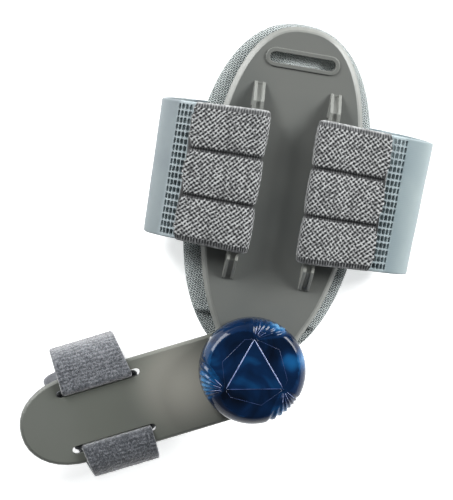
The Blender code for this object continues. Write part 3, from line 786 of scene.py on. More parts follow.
@dataclass(frozen=True)
class MarbledResin(Finish):
    """Cast acrylic, marbled and polished: deep blue with paler clouds inside it, under a
    clear hard gloss."""

    name: str = "cast acrylic, marbled blue, polished"
    roughness: float = 0.14
    deep: str = "#040a16"
    body: str = "#081f3d"
    bright: str = "#124977"
    pale: str = "#74acd2"
    ior: float = 1.49
    swirl: float = 0.009          # metres across one swirl
    cloud_height: float = 0.028
    facet_slope: float = 0.99255  # upright part of the normal of a facet
    clouds: tuple[Cloud, ...] = (
        Cloud(0.0108, -0.0531, 0.0046, 0.60),
        Cloud(0.0068, -0.0554, 0.0026, 0.36),
        Cloud(-0.0146, -0.0645, 0.0056, 0.27),
        Cloud(-0.0118, -0.0560, 0.0050, 0.17),
        Cloud(-0.0020, -0.0548, 0.0036, 0.07),
        Cloud(0.0056, -0.0430, 0.0036, 0.30),
        Cloud(0.0115, -0.0700, 0.0046, 0.24),
    )

    def surface(self, add: Adder) -> dict:
        """Swirls and clouds of paler blue, darkened on the facets by painted shade.

        Args:
            add: adds one node to the tree.

        Returns:
            Inputs of the shader.
        """
        where = add("TexCoord").outputs["Object"]
        swirl = add("TexNoise", {"Vector": where, "Scale": 1 / self.swirl, "Detail": 2.0,
                                 "Distortion": 0.9})
        level = add("Math", (swirl, 0.34, 0.31), operation="MULTIPLY_ADD")
        for cloud in self.clouds:
            away = add("VectorMath", (where, (cloud.x, cloud.y, self.cloud_height)),
                       operation="DISTANCE")
            glow = add("MapRange", {"Value": away, "From Min": cloud.radius * 1.4,
                                    "From Max": cloud.radius * 0.2, "To Max": cloud.strength},
                       interpolation_type="SMOOTHSTEP")
            level = add("Math", (level, glow), operation="ADD")
        # Painted shade: the facets are drawn darker than the table.
        upright = add("SeparateXYZ", (add("NewGeometry").outputs["True Normal"],)).outputs["Z"]
        on_facet = add("Math", (upright, self.facet_slope, 0.003), operation="COMPARE")
        level = add("Math", (on_facet, -0.07, level), operation="MULTIPLY_ADD")
        colour = add("ValToRGB", {"Fac": level},
                     ((0.34, self.deep), (0.50, self.body), (0.66, self.bright),
                      (0.90, self.pale)))
        return {"Base Color": colour, "IOR": self.ior, "Specular IOR Level": 0.05,
                "Coat Weight": 0.4, "Coat Roughness": 0.02, "Coat IOR": 1.45}


@dataclass(frozen=True)
class PolishedEdge(Finish):
    """Painted highlight: a thin pale lavender line along an edge of the knob, standing for the gloss on that
    edge.
    """

    name: str = "cast acrylic, buffed edge"
    roughness: float = 0.18
    colour: str = "#8f9cc4"
    shade: str = "#5c6a97"
    streak: float = 0.004         # metres along one streak

    def surface(self, add: Adder) -> dict:
        """Streaks of two tones.

        Args:
            add: adds one node to the tree.

        Returns:
            Inputs of the shader.
        """
        streak = add("TexNoise", {"Vector": add("TexCoord").outputs["Object"],
                                  "Scale": 1 / self.streak})
        colour = add("ValToRGB", {"Fac": streak}, ((0.35, self.shade), (0.62, self.colour)))
        return {"Base Color": colour, "IOR": 1.49, "Coat Weight": 0.5, "Coat Roughness": 0.05}


@dataclass(frozen=True)
class TurnedSteel(Finish):
    """Zinc-plated steel, turned: cool grey metal with fine rings of tool marks."""

    name: str = "zinc-plated steel, turned"
    roughness: float = 0.34
    colour: str = "#b4b5b6"
    marked: str = "#9a9b9c"
    rings: float = 1500.0         # scale of the wave, about 0.2 mm from ring to ring

    def surface(self, add: Adder) -> dict:
        """Rings round the screw's axis.

        Args:
            add: adds one node to the tree.

        Returns:
            Inputs of the shader.
        """
        from_axis = add("Mapping", {"Vector": add("TexCoord").outputs["Object"],
                                    "Location": (0.0, -STACK.pivot_y, 0.0)})
        rings = add("TexWave", {"Vector": from_axis, "Scale": self.rings, "Distortion": 0.4},
                    wave_type="RINGS", rings_direction="Z").outputs["Fac"]
        tone = add("ValToRGB", {"Fac": rings}, ((0.2, self.marked), (0.8, self.colour)))
        bump = add("Bump", {"Height": rings, "Strength": 0.15, "Distance": 0.00003})
        return {"Base Color": tone, "Metallic": 1.0, "Normal": bump}


@dataclass(frozen=True)
class PaleBoard(Finish):
    """Opal acrylic of the studio's light table: plain, pale and matt, lit a little from below."""

    name: str = "light table, opal acrylic"
    roughness: float = 0.9
    colour: str = "#f7f8f8"
    glow: float = 0.62

    def surface(self, add: Adder) -> dict:
        """One colour, which also glows."""
        return {"Base Color": linear(self.colour), "Emission Color": linear(self.colour),
                "Emission Strength": self.glow}


# Sub-assemblies

@dataclass
class FootPlate:
    """The moulded plate with its rails: the CAD node, dressed."""

    finish: MouldedAbs = field(default_factory=MouldedAbs)

    def build(self) -> list[bpy.types.Object]:
        """Dress the plate."""
        return [dress_node("foot_plate", self.finish)]


@dataclass
class FootPad:
    """The foam pad under the plate, in its knitted cover."""

    half_width: float = 0.0286
    up: float = 0.0517
    down: float = 0.0561
    power_up: float = 2.3         # of the oval's two halves; 2 is an ellipse
    power_down: float = 2.25
    shift: float = -0.0008
    edge_roll: float = 0.0055
    columns: int = 200
    shrink: float = 0.0006        # taken off before the cover is blown up
    cap: float = 0.0011           # furthest that a point may swell
    frames: int = 20              # of the simulation
    pressure: float = 4.0
    step_y: float = -0.0429
    step_run: float = 0.0008      # length of the step under the arm
    step_top: float = 0.0151
    pocket: float = 0.0056
    pocket_top: float = 0.0133
    clear: float = 0.00005        # kept below what covers the pad
    run_radius: float = 0.040     # turns an angle round the rim to metres along it
    finish: SpacerKnit = field(default_factory=SpacerKnit)

    def half(self, y: float) -> float:
        """Half width of the pad at y."""
        reach, power = (self.up, self.power_up) if y > 0 else (self.down, self.power_down)
        share = min(1.0, abs(y) / reach)
        return self.half_width * (1 - share ** power) ** (1 / power)

    def outline(self) -> np.ndarray:
        """Pad's outline, evenly spaced, from the knob's end round anticlockwise.

        Returns:
            One row of x and y for each column.
        """
        steps = [0.5 - 0.5 * math.cos(math.pi * i / self.columns) for i in range(self.columns + 1)]
        ys = [-self.down + (self.up + self.down) * s for s in steps]
        right = [(0.0, ys[0])] + [(self.half(y), y) for y in ys[1:-1]] + [(0.0, ys[-1])]
        path = right + [(-x, y) for x, y in reversed(right[1:-1])]
        length = run_lengths(np.array(path + path[:1]))[-1]
        step = int(round(length / self.columns * 1e6)) / 1e6
        return evened(path, step, closed=True)[:self.columns] + np.array([self.shift, 0.0])

    def rings(self) -> list[Spot]:
        """Rings over the pad's section, from the middle of its underside to the middle of
        its top: share of the outline, inset in metres, height in metres."""
        base, thick, roll = STACK.pad_base, STACK.pad, self.edge_roll
        inner = [0.04, 0.14, 0.24, 0.34, 0.44, 0.54, 0.64, 0.74, 0.83, 0.91]
        found = [(share, 1.30 * roll, base) for share in inner]
        for inward, up in ((1.30, 0.0), (0.90, 0.02), (0.55, 0.07), (0.30, 0.15), (0.12, 0.27),
                           (0.03, 0.39), (0.0, 0.52), (0.03, 0.65), (0.12, 0.76), (0.28, 0.87),
                           (0.48, 0.94), (0.74, 0.98), (1.0, 1.0)):
            found.append((1.0, inward * roll, base + up * thick))
        found += [(share, roll, base + thick) for share in reversed(inner)]
        return found

    def cover(self) -> bpy.types.Object:
        """Pad a little smaller than it ends up, ready to be blown up.

        Returns:
            The object.
        """
        outline = self.outline()
        inward = normals_of(outline, closed=True)
        middle = (STACK.pad_base + STACK.pad_top) / 2
        rows = []
        for share, inset, z in self.rings():
            flat = (outline + inward * (inset + self.shrink)) * share
            lowered = middle + (z - middle) * (1 - self.shrink / STACK.pad * 1.6)
            rows.append(np.column_stack([flat, np.full(len(flat), lowered)]))
        low = len(rows) * self.columns
        last = low - self.columns
        faces = ring_faces(len(rows), self.columns)
        points = np.vstack(rows + [rows[0].mean(axis=0), rows[-1].mean(axis=0)])
        for j in range(self.columns):
            k = (j + 1) % self.columns
            faces += [(k, j, low), (last + j, last + k, low + 1)]
        return add_object("foot_pad_cover", new_mesh("foot_pad_cover", points, faces))

    def blow_up(self, piece: bpy.types.Object) -> None:
        """Swell the cover with the cloth simulation, as its foam fills it.

        Args:
            piece: the cover; its mesh is changed.
        """
        rest = mesh_points(piece.data)
        cloth = piece.modifiers.new("cover", "CLOTH")
        cloth.settings.use_pressure = True
        cloth.settings.uniform_pressure_force = self.pressure
        cloth.settings.effector_weights.gravity = 0.0
        cloth.settings.mass = 0.2
        cloth.settings.tension_stiffness = 12.0
        cloth.point_cache.frame_start = 1
        cloth.point_cache.frame_end = self.frames
        for moment in range(1, self.frames + 1):
            bpy.context.scene.frame_set(moment)
        ready = piece.evaluated_get(bpy.context.evaluated_depsgraph_get())
        moved = mesh_points(ready.data) - rest
        piece.modifiers.remove(cloth)
        bpy.context.scene.frame_set(1)
        length = np.maximum(np.linalg.norm(moved, axis=1, keepdims=True), 1e-9)
        move_points(piece.data, rest + moved * np.minimum(1.0, self.cap / length))

    def fit(self, mesh: bpy.types.Mesh) -> None:
        """Keep the cover under the plate, the arm and the screw's head.

        Args:
            mesh: the cover's mesh, which is changed.
        """
        points = mesh_points(mesh)
        x, y, z = points.T
        rise = np.clip((y - self.step_y) / self.step_run, 0, 1)
        limit = self.step_top + (STACK.pad_top - self.step_top) * rise
        from_pivot = np.hypot(x, y - STACK.pivot_y)
        limit = np.where(from_pivot < self.pocket, self.pocket_top, limit)
        points[:, 2] = np.clip(z, STACK.pad_base, limit - self.clear)
        move_points(mesh, points)

    def build(self) -> list[bpy.types.Object]:
        """Make the pad.

        Returns:
            The pad.
        """
        piece = self.cover()
        self.blow_up(piece)
        finer = piece.modifiers.new("finer", "SUBSURF")
        finer.levels = 1
        ready = piece.evaluated_get(bpy.context.evaluated_depsgraph_get())
        mesh = bpy.data.meshes.new_from_object(ready)
        bpy.data.objects.remove(piece)
        mesh.name = "foot_pad_cover"
        self.fit(mesh)
        points = mesh_points(mesh)
        put_values(mesh, "edge_run", np.arctan2(points[:, 0], -points[:, 1]) * self.run_radius)
        mesh.shade_smooth()
        pad = place("foot_pad_cover", mesh, self.finish.build(), Body.FOOT, Slot.KNIT,
                    ("foot_pad",), sharp=50)
        return [pad]


@dataclass
class FootStrap:
    """The foot strap: a smooth band round the back, pierced beside two ribbed panels."""

    half_width: float = 0.0225
    taper: float = 0.0014
    back_extra: float = 0.0011
    back_shift: float = 0.0005
    shift: float = 0.0025
    loop_half: float = 0.0428
    loop_flare: float = 0.0008
    fold_reach: float = 0.0145
    fold_waist: float = 0.46      # height of a rounded side's outermost point, of its whole
    panel_reach: float = 0.0307
    tab_reach: float = 0.0215
    rail_offset: float = 0.0121
    rail_width: float = 0.0034
    ribs: int = 3
    rib_relief: float = 0.0008
    yarn_pitch: float = 0.00112   # between two yarns of the weave
    weave_relief: float = 0.00034
    yarn_wander: float = 0.0005   # how far a yarn strays
    stitch_pitch: float = 0.00088
    channel: float = 0.0008       # half width of a stitched channel between two ribs
    seam: float = 0.00028         # half width of the dark line in it
    bound_edge: float = 0.0020    # width of the overcast edge
    edge_cord: float = 0.0008     # width of the cord along it
    scallop: float = 0.0011       # how far the ribs bulge at a panel's outer end
    ragged: float = 0.0009        # how uneven that end is
    scallop_run: float = 0.0025   # metres along the panel that bulge
    tab_flat: float = 0.002       # metres at the tab that have no rib
    tab_fade: float = 0.008       # metres over which the ribs rise from there
    panel_fine: float = 0.0002    # mesh spacing on a panel
    net_rows: int = 19
    net_start: float = -0.0006    # from the panel's outer end
    net_columns: tuple[Point, ...] = (
        (0.00128, 0.00088),
        (0.00128, 0.00088),
        (0.00126, 0.00086),
        (0.00118, 0.00076),
        (0.00104, 0.00054),
    )                             # width of each column, and of its holes
    hole_length: float = 0.0016
    hole_lip: float = 0.00012     # how far a hole's rounded rim opens outward
    edge_round: float = 0.0005    # width of the band's rounded edges
    edge_margin: float = 0.0008   # from the band's edge to its net
    ripple: float = 0.00012       # how uneven the band's surface is
    plain_step: float = 0.0009    # mesh spacing along the band between its nets
    weave: WovenElastic = field(default_factory=WovenElastic)
    smooth: SmoothElastic = field(default_factory=SmoothElastic)

    @property
    def fold_half(self) -> float:
        """Half of the band's width at its outer fold."""
        return self.half_width - self.taper

    def side_centre(self, side: Side) -> float:
        """X of the middle of one rounded side."""
        reach = self.loop_half - STACK.band / 2 - self.fold_reach
        return side.value * reach + self.shift

    def fold_point(self, side: Side, angle: float) -> Point:
        """Middle of the band on a rounded side.

        Args:
            side: which side.
            angle: degrees, 90 at its top and -90 on the floor.

        Returns:
            X and z.
        """
        middle = (STACK.roll_top + STACK.band / 2) * self.fold_waist
        rise = STACK.roll_top - middle if angle > 0 else middle - STACK.band / 2
        turn = math.radians(angle)
        return (self.side_centre(side) + side.value * self.fold_reach * math.cos(turn),
                middle + rise * math.sin(turn))

    def band_height(self, side: Side, x: float) -> float:
        """Height of the middle of the band above x, on its upper run."""
        across = side.value * (x - self.side_centre(side)) / self.fold_reach
        if across <= 0:
            return STACK.roll_top
        return self.fold_point(side, math.degrees(math.acos(min(1.0, across))))[1]

    def panel_path(self, side: Side) -> list[Point]:
        """Middle of a panel, from its outer end over the rail's bar and round it to its tab."""
        turn = STACK.gap + STACK.panel / 2
        inner = self.rail_offset - self.rail_width / 2
        rail_side = self.rail_offset + self.rail_width / 2
        lift = STACK.panel / 2 + STACK.gap + STACK.band / 2
        path = []
        for s in np.arange(25) / 24:
            x = self.panel_reach + (self.tab_reach - self.panel_reach) * s
            path.append((x, self.band_height(side, side.value * x) + lift))
        end_x, end_z = path[-1]
        shares = np.arange(13) / 12
        for s in shares[1:]:
            path.append((end_x + (rail_side - end_x) * s,
                         end_z + (STACK.panel_mid - end_z) * eased(s)))
        for centre, start in ((STACK.bar_top, 90), (STACK.bar, 180)):
            for s in shares:
                a = math.radians(start + 90 * s)
                path.append((inner + turn * math.cos(a), centre + turn * math.sin(a)))
        low, tab_z = STACK.bar - turn, end_z - STACK.panel - STACK.gap
        for s in shares:
            path.append((rail_side + (self.tab_reach - rail_side) * s,
                         low + (tab_z - low) * eased(s)))
        return [(side.value * x, z) for x, z in path]

    def yarns(self, side: Side, run: np.ndarray, across: np.ndarray) -> np.ndarray:
        """Relief of a panel's weave, its stitched channels and its bound edges.

        Args:
            side: which panel.
            run: metres along the panel, from its outer end.
            across: metres across the panel.

        Returns:
            Numbers from 0, the bottom of an opening, to 1, the crown of a yarn.
        """
        seed = 3 if side is Side.LEFT else 7
        x = -side.value * run + self.yarn_wander * lattice_noise(run, across, 0.003, seed)
        y = across + self.yarn_wander * lattice_noise(run, across, 0.0035, seed + 1)
        a = (x + y) / math.sqrt(2) / self.yarn_pitch
        b = (y - x) / math.sqrt(2) / self.yarn_pitch
        over = np.cos(np.pi * a) * np.cos(np.pi * b)
        rising = np.clip((np.abs(np.cos(np.pi * b)) - 0.40) / 0.42, 0, 1) * (0.80 + 0.16 * over)
        falling = np.clip((np.abs(np.cos(np.pi * a)) - 0.40) / 0.42, 0, 1) * (0.72 - 0.18 * over)
        weave = np.maximum(rising, falling)
        weave *= 0.80 + 0.40 * lattice_noise(a, b, 0.5, seed + 2)
        wander = 2.2 * lattice_noise(run, across, 0.0016, seed + 4)
        stitch = 0.5 + 0.5 * np.cos(TURN * run / self.stitch_pitch + wander)
        stitch *= 0.6 + 0.6 * lattice_noise(run, across, 0.0009, seed + 5)
        half = self.half_width
        groove = np.min([np.abs(across - s * half / self.ribs) for s in (-1, 1)], axis=0)
        in_groove = np.clip(1.25 - groove / self.channel, 0, 1)
        weave = weave * (1 - in_groove) + (0.06 + 0.62 * stitch) * in_groove
        line = np.clip(1 - groove / self.seam, 0, 1)
        weave = weave * (1 - 0.7 * line)
        edge = half - np.abs(across)
        bound = np.clip((self.bound_edge - edge) / 0.0004, 0, 1)
        least = np.where(across > 0, 0.44, 0.22)
        weave = weave * (1 - bound) + (least + (0.80 - least) * stitch) * bound
        cord = np.clip((self.edge_cord - edge) / 0.0003, 0, 1)
        lay = 0.70 + 0.20 * lattice_noise(run, across, 0.0006, seed + 3)
        return np.clip(weave * (1 - cord) + lay * cord, 0, 1)

    def build_panel(self, side: Side) -> bpy.types.Object:
        """Make one ribbed panel.

        Args:
            side: which panel.

        Returns:
            The panel.
        """
        thick, half = STACK.panel / 2, self.half_width
        middle = evened(self.panel_path(side), self.panel_fine / 3)
        outer = middle + normals_of(middle, spread=9) * -side.value * (thick + self.rib_relief)
        outer_run = run_lengths(outer)
        run = np.linspace(0, outer_run[-1], int(outer_run[-1] / self.panel_fine))
        path = points_at(middle, outer_run, run)
        normal = normals_of(path, spread=4) * -side.value
        share, level = strip_section(1.0, thick / half * 0.9,
                                     int(round(2 * half / self.panel_fine)), 12,
                                     np.radians(np.linspace(75, -75, 6)))
        reach = np.clip((np.abs(path[:, 0]) - self.rail_offset)
                        / (self.panel_reach - self.rail_offset), 0, 1)
        widths = half - self.taper * 0.6 * reach
        fade = np.clip((run[-1] - run - self.tab_flat) / self.tab_fade, 0, 1)
        bow = np.abs(np.cos(np.pi * self.ribs * share / 2))
        rise = np.clip(level, 0, 1)[None, :] * (bow ** 0.32)[None, :] * self.rib_relief \
            * fade[:, None]
        relief = self.yarns(side, *np.meshgrid(run, share * half, indexing="ij"))
        out = thick * level[None, :] + rise
        out += (relief - 0.7) * self.weave_relief * np.clip(level + 0.3, 0, 1)[None, :] \
            * (0.25 + 0.75 * fade[:, None])
        scallop = (bow - 0.45) * self.scallop
        scallop += self.ragged * (lattice_noise(share * half, 0 * share, 0.0012, 9) - 0.5)
        bulge = np.clip(1 - run / self.scallop_run, 0, 1)[:, None] * scallop[None, :]
        tangent = np.stack([normal[:, 1], -normal[:, 0]], axis=1) * -side.value
        xs, zs = [path[:, k:k + 1] + normal[:, k:k + 1] * out - tangent[:, k:k + 1] * bulge
                  for k in (0, 1)]
        points = np.stack([xs, share[None, :] * widths[:, None], zs], axis=-1)
        node = f"elastic_panel_{side.name.lower()}"
        mesh = new_mesh(f"{node}_cloth", points, ring_faces(*xs.shape) + end_caps(*xs.shape))
        put_values(mesh, "relief", relief)
        panel = place(mesh.name, mesh, self.weave.build(), Body.FOOT, Slot.RIBBED, (node,))
        return panel

    def band_rows(self) -> tuple[np.ndarray, np.ndarray, np.ndarray, list[float]]:
        """Rows of the whole band, from the right panel round the back to the left one.

        Returns:
            Middle points, normals, half widths, and for each strip between two rows the
            width of its holes, 0 where it has none.
        """
        start = self.tab_reach + STACK.gap + STACK.band / 2
        pieces = []
        for side in (Side.RIGHT, Side.LEFT):
            centre = side.value * self.side_centre(side)
            steps = 12 if centre > start else 1
            path = [(side.value * (start + (centre - start) * i / 12), STACK.roll_top)
                    for i in range(steps)]
            share = [0.1] * steps
            for i in range(97):
                angle = 90 - 180 * i / 96
                path.append(self.fold_point(side, angle))
                share.append(1 - 0.85 * angle / 90 if angle > 0 else 1 - angle / 90)
            pieces.append((path, share))
        (right, right_share), (left, left_share) = pieces
        path = np.array(right + left[::-1])
        share = np.array(right_share + left_share[::-1])
        along = run_lengths(path)
        before = self.panel_reach - start + self.net_start
        net = sum(width for width, _ in self.net_columns)
        between = along[-1] - 2 * (before + net)
        plain = int(round(between / self.plain_step))
        strips = [(before, 0.0), *self.net_columns, *[(between / plain, 0.0)] * plain,
                  *reversed(self.net_columns), (before, 0.0)]
        places = np.concatenate([[0], np.cumsum([width for width, _ in strips])])
        shares = np.interp(places, along, share)
        half = np.where(shares <= 1, self.fold_half + self.taper * 0.4 * (1 - shares),
                        self.fold_half + self.back_extra * (shares - 1))
        reach = 0.0002            # metres each way that a normal looks along the band
        way = unit(points_at(path, along, places + reach)
                   - points_at(path, along, places - reach))
        normal = np.stack([-way[:, 1], way[:, 0]], axis=1)
        return points_at(path, along, places), normal, half, [hole for _, hole in strips]

    def build_band(self) -> bpy.types.Object:
        """Make the smooth band with its two pierced strips.

        Returns:
            The band.
        """
        path, normal, half, holes = self.band_rows()
        thick, round_in, margin = STACK.band / 2, self.edge_round, self.edge_margin
        turn = np.radians([60, 30, 0, -30, -60])
        rows, loops = len(path), []
        for wide in half:
            flat, inner = wide - round_in, wide - margin
            ys = [-flat, *(-inner + 2 * inner * k / self.net_rows
                           for k in range(self.net_rows + 1)), flat]
            edge = [(flat + round_in * math.cos(a), thick * math.sin(a)) for a in turn]
            loops.append([(y, thick) for y in ys] + edge + [(y, -thick) for y in reversed(ys)]
                         + [(-y, z) for y, z in reversed(edge)])
        table = np.array(loops)
        across, out = table[..., 0], table[..., 1]
        reach = np.clip((np.abs(path[:, 0]) - self.panel_reach)
                        / (self.loop_half - self.panel_reach), 0, 1)
        flare = np.copysign(self.loop_flare * reach, path[:, 0])
        ripple = self.ripple * (lattice_noise(np.arange(rows)[:, None] * 0.9 + 0 * across,
                                              across * 1000, 5.0, 11) - 0.5)
        xs = path[:, :1] + normal[:, :1] * (out + ripple) + flare[:, None] * across / self.fold_half
        zs = path[:, 1:] + normal[:, 1:] * (out + ripple)
        grid = np.stack([xs, across, np.maximum(zs, 0.0)], axis=-1)
        columns = grid.shape[1]
        grid[..., 1] += self.back_shift * np.clip(1 - grid[..., 2] / (STACK.roll_top * 0.6), 0, 1)
        points, count = [grid.reshape(-1, 3)], rows * columns
        cells = range(1, self.net_rows + 1)
        last_low = columns - len(turn) - 1
        left_out = {*cells, *(last_low - 2 - j for j in cells)}
        faces = []
        for i in range(rows - 1):
            here, ahead = i * columns, (i + 1) * columns
            for j in range(columns):
                k = (j + 1) % columns
                if not holes[i] or j not in left_out:
                    faces.append((here + j, here + k, ahead + k, ahead + j))
            for j in cells if holes[i] else ():
                m = last_low - j
                top = (here + j, here + j + 1, ahead + j + 1, ahead + j)
                low = (here + m, here + m - 1, ahead + m - 1, ahead + m)
                added, made = self.hole(points[0][list(top)], points[0][list(low)], holes[i],
                                        count, (top, low))
                points.append(added)
                faces += made
                count += len(added)
        faces += end_caps(rows, columns)
        mesh = new_mesh("strap_band_cloth", np.concatenate(points), faces)
        band = place(mesh.name, mesh, self.smooth.build(), Body.FOOT, Slot.SMOOTH,
                     ("strap_band",), sharp=60)
        return band

    def hole(self, top: np.ndarray, low: np.ndarray, width: float, first: int,
             corners: tuple[Face, Face]) -> tuple[np.ndarray, list[Face]]:
        """One rounded hole of the net, in its cell.

        Args:
            top: the cell's four upper corners, across first and then along.
            low: the four lower corners, in the same order.
            width: the hole's width along the band.
            first: number of the first point that is added.
            corners: point numbers of the upper and of the lower corners.

        Returns:
            The added points and the faces.
        """
        long = np.linalg.norm(top[1] - top[0])
        wide = np.linalg.norm(top[3] - top[0])
        least_long, least_wide = 0.0005, 0.0002     # metres of thread left between two holes
        half_long = min(self.hole_length, long - least_long) / 2
        half_wide = min(width, wide - least_wide) / 2
        added, faces, around = [], [], 12
        for level, grow in ((1.0, self.hole_lip), (0.8, 0.0), (0.2, 0.0), (0.0, self.hole_lip)):
            a, b = half_long + grow, half_wide + grow
            bend = min(a, b) * 0.75
            for s, t, start in ((-1, -1, 180), (1, -1, 270), (1, 1, 0), (-1, 1, 90)):
                for k in range(3):
                    angle = math.radians(start + 45 * k)
                    u = (s * (a - bend) + bend * math.cos(angle)) / long + 0.5
                    v = (t * (b - bend) + bend * math.sin(angle)) / wide + 0.5
                    upper, lower = [(1 - u) * (1 - v) * side[0] + u * (1 - v) * side[1]
                                    + u * v * side[2] + (1 - u) * v * side[3]
                                    for side in (top, low)]
                    added.append(upper * level + lower * (1 - level))
        for ring in range(3):
            for k in range(around):
                a, b = [first + around * ring + m for m in (k, (k + 1) % around)]
                faces.append((a, b, b + around, a + around))
        for ring, outer in zip((0, 3), corners):
            base = first + around * ring
            for c in range(4):
                mine = [base + 3 * c + k for k in range(3)]
                following = base + (3 * c + 3) % around
                part = [(outer[c], mine[1], mine[0]), (outer[c], mine[2], mine[1]),
                        (outer[c], outer[(c + 1) % 4], following, mine[2])]
                faces += [face[::-1] for face in part] if ring else part
        return np.array(added), faces

    def build(self) -> list[bpy.types.Object]:
        """Make the band and both panels.

        Returns:
            The pieces.
        """
        band = self.build_band()
        return [band, self.build_panel(Side.LEFT), self.build_panel(Side.RIGHT)]


@dataclass
class ToeArm:
    """The moulded arm that reaches along the toe: the CAD node, dressed."""

    # The arm's finish paints a highlight near the hub, which also lifts the knob's shadow there.
    finish: MouldedAbs = field(default_factory=lambda: MouldedAbs(
        name="moulded ABS, warm grey", colour="#5c5f5a", cooler="#565953", rubbed="#595c56",
        sloped=0.15, handled=(-0.0205, -0.0660, 0.018), handled_reach=0.0190))

    def build(self) -> list[bpy.types.Object]:
        """Dress the arm."""
        return [dress_node("toe_arm", self.finish)]


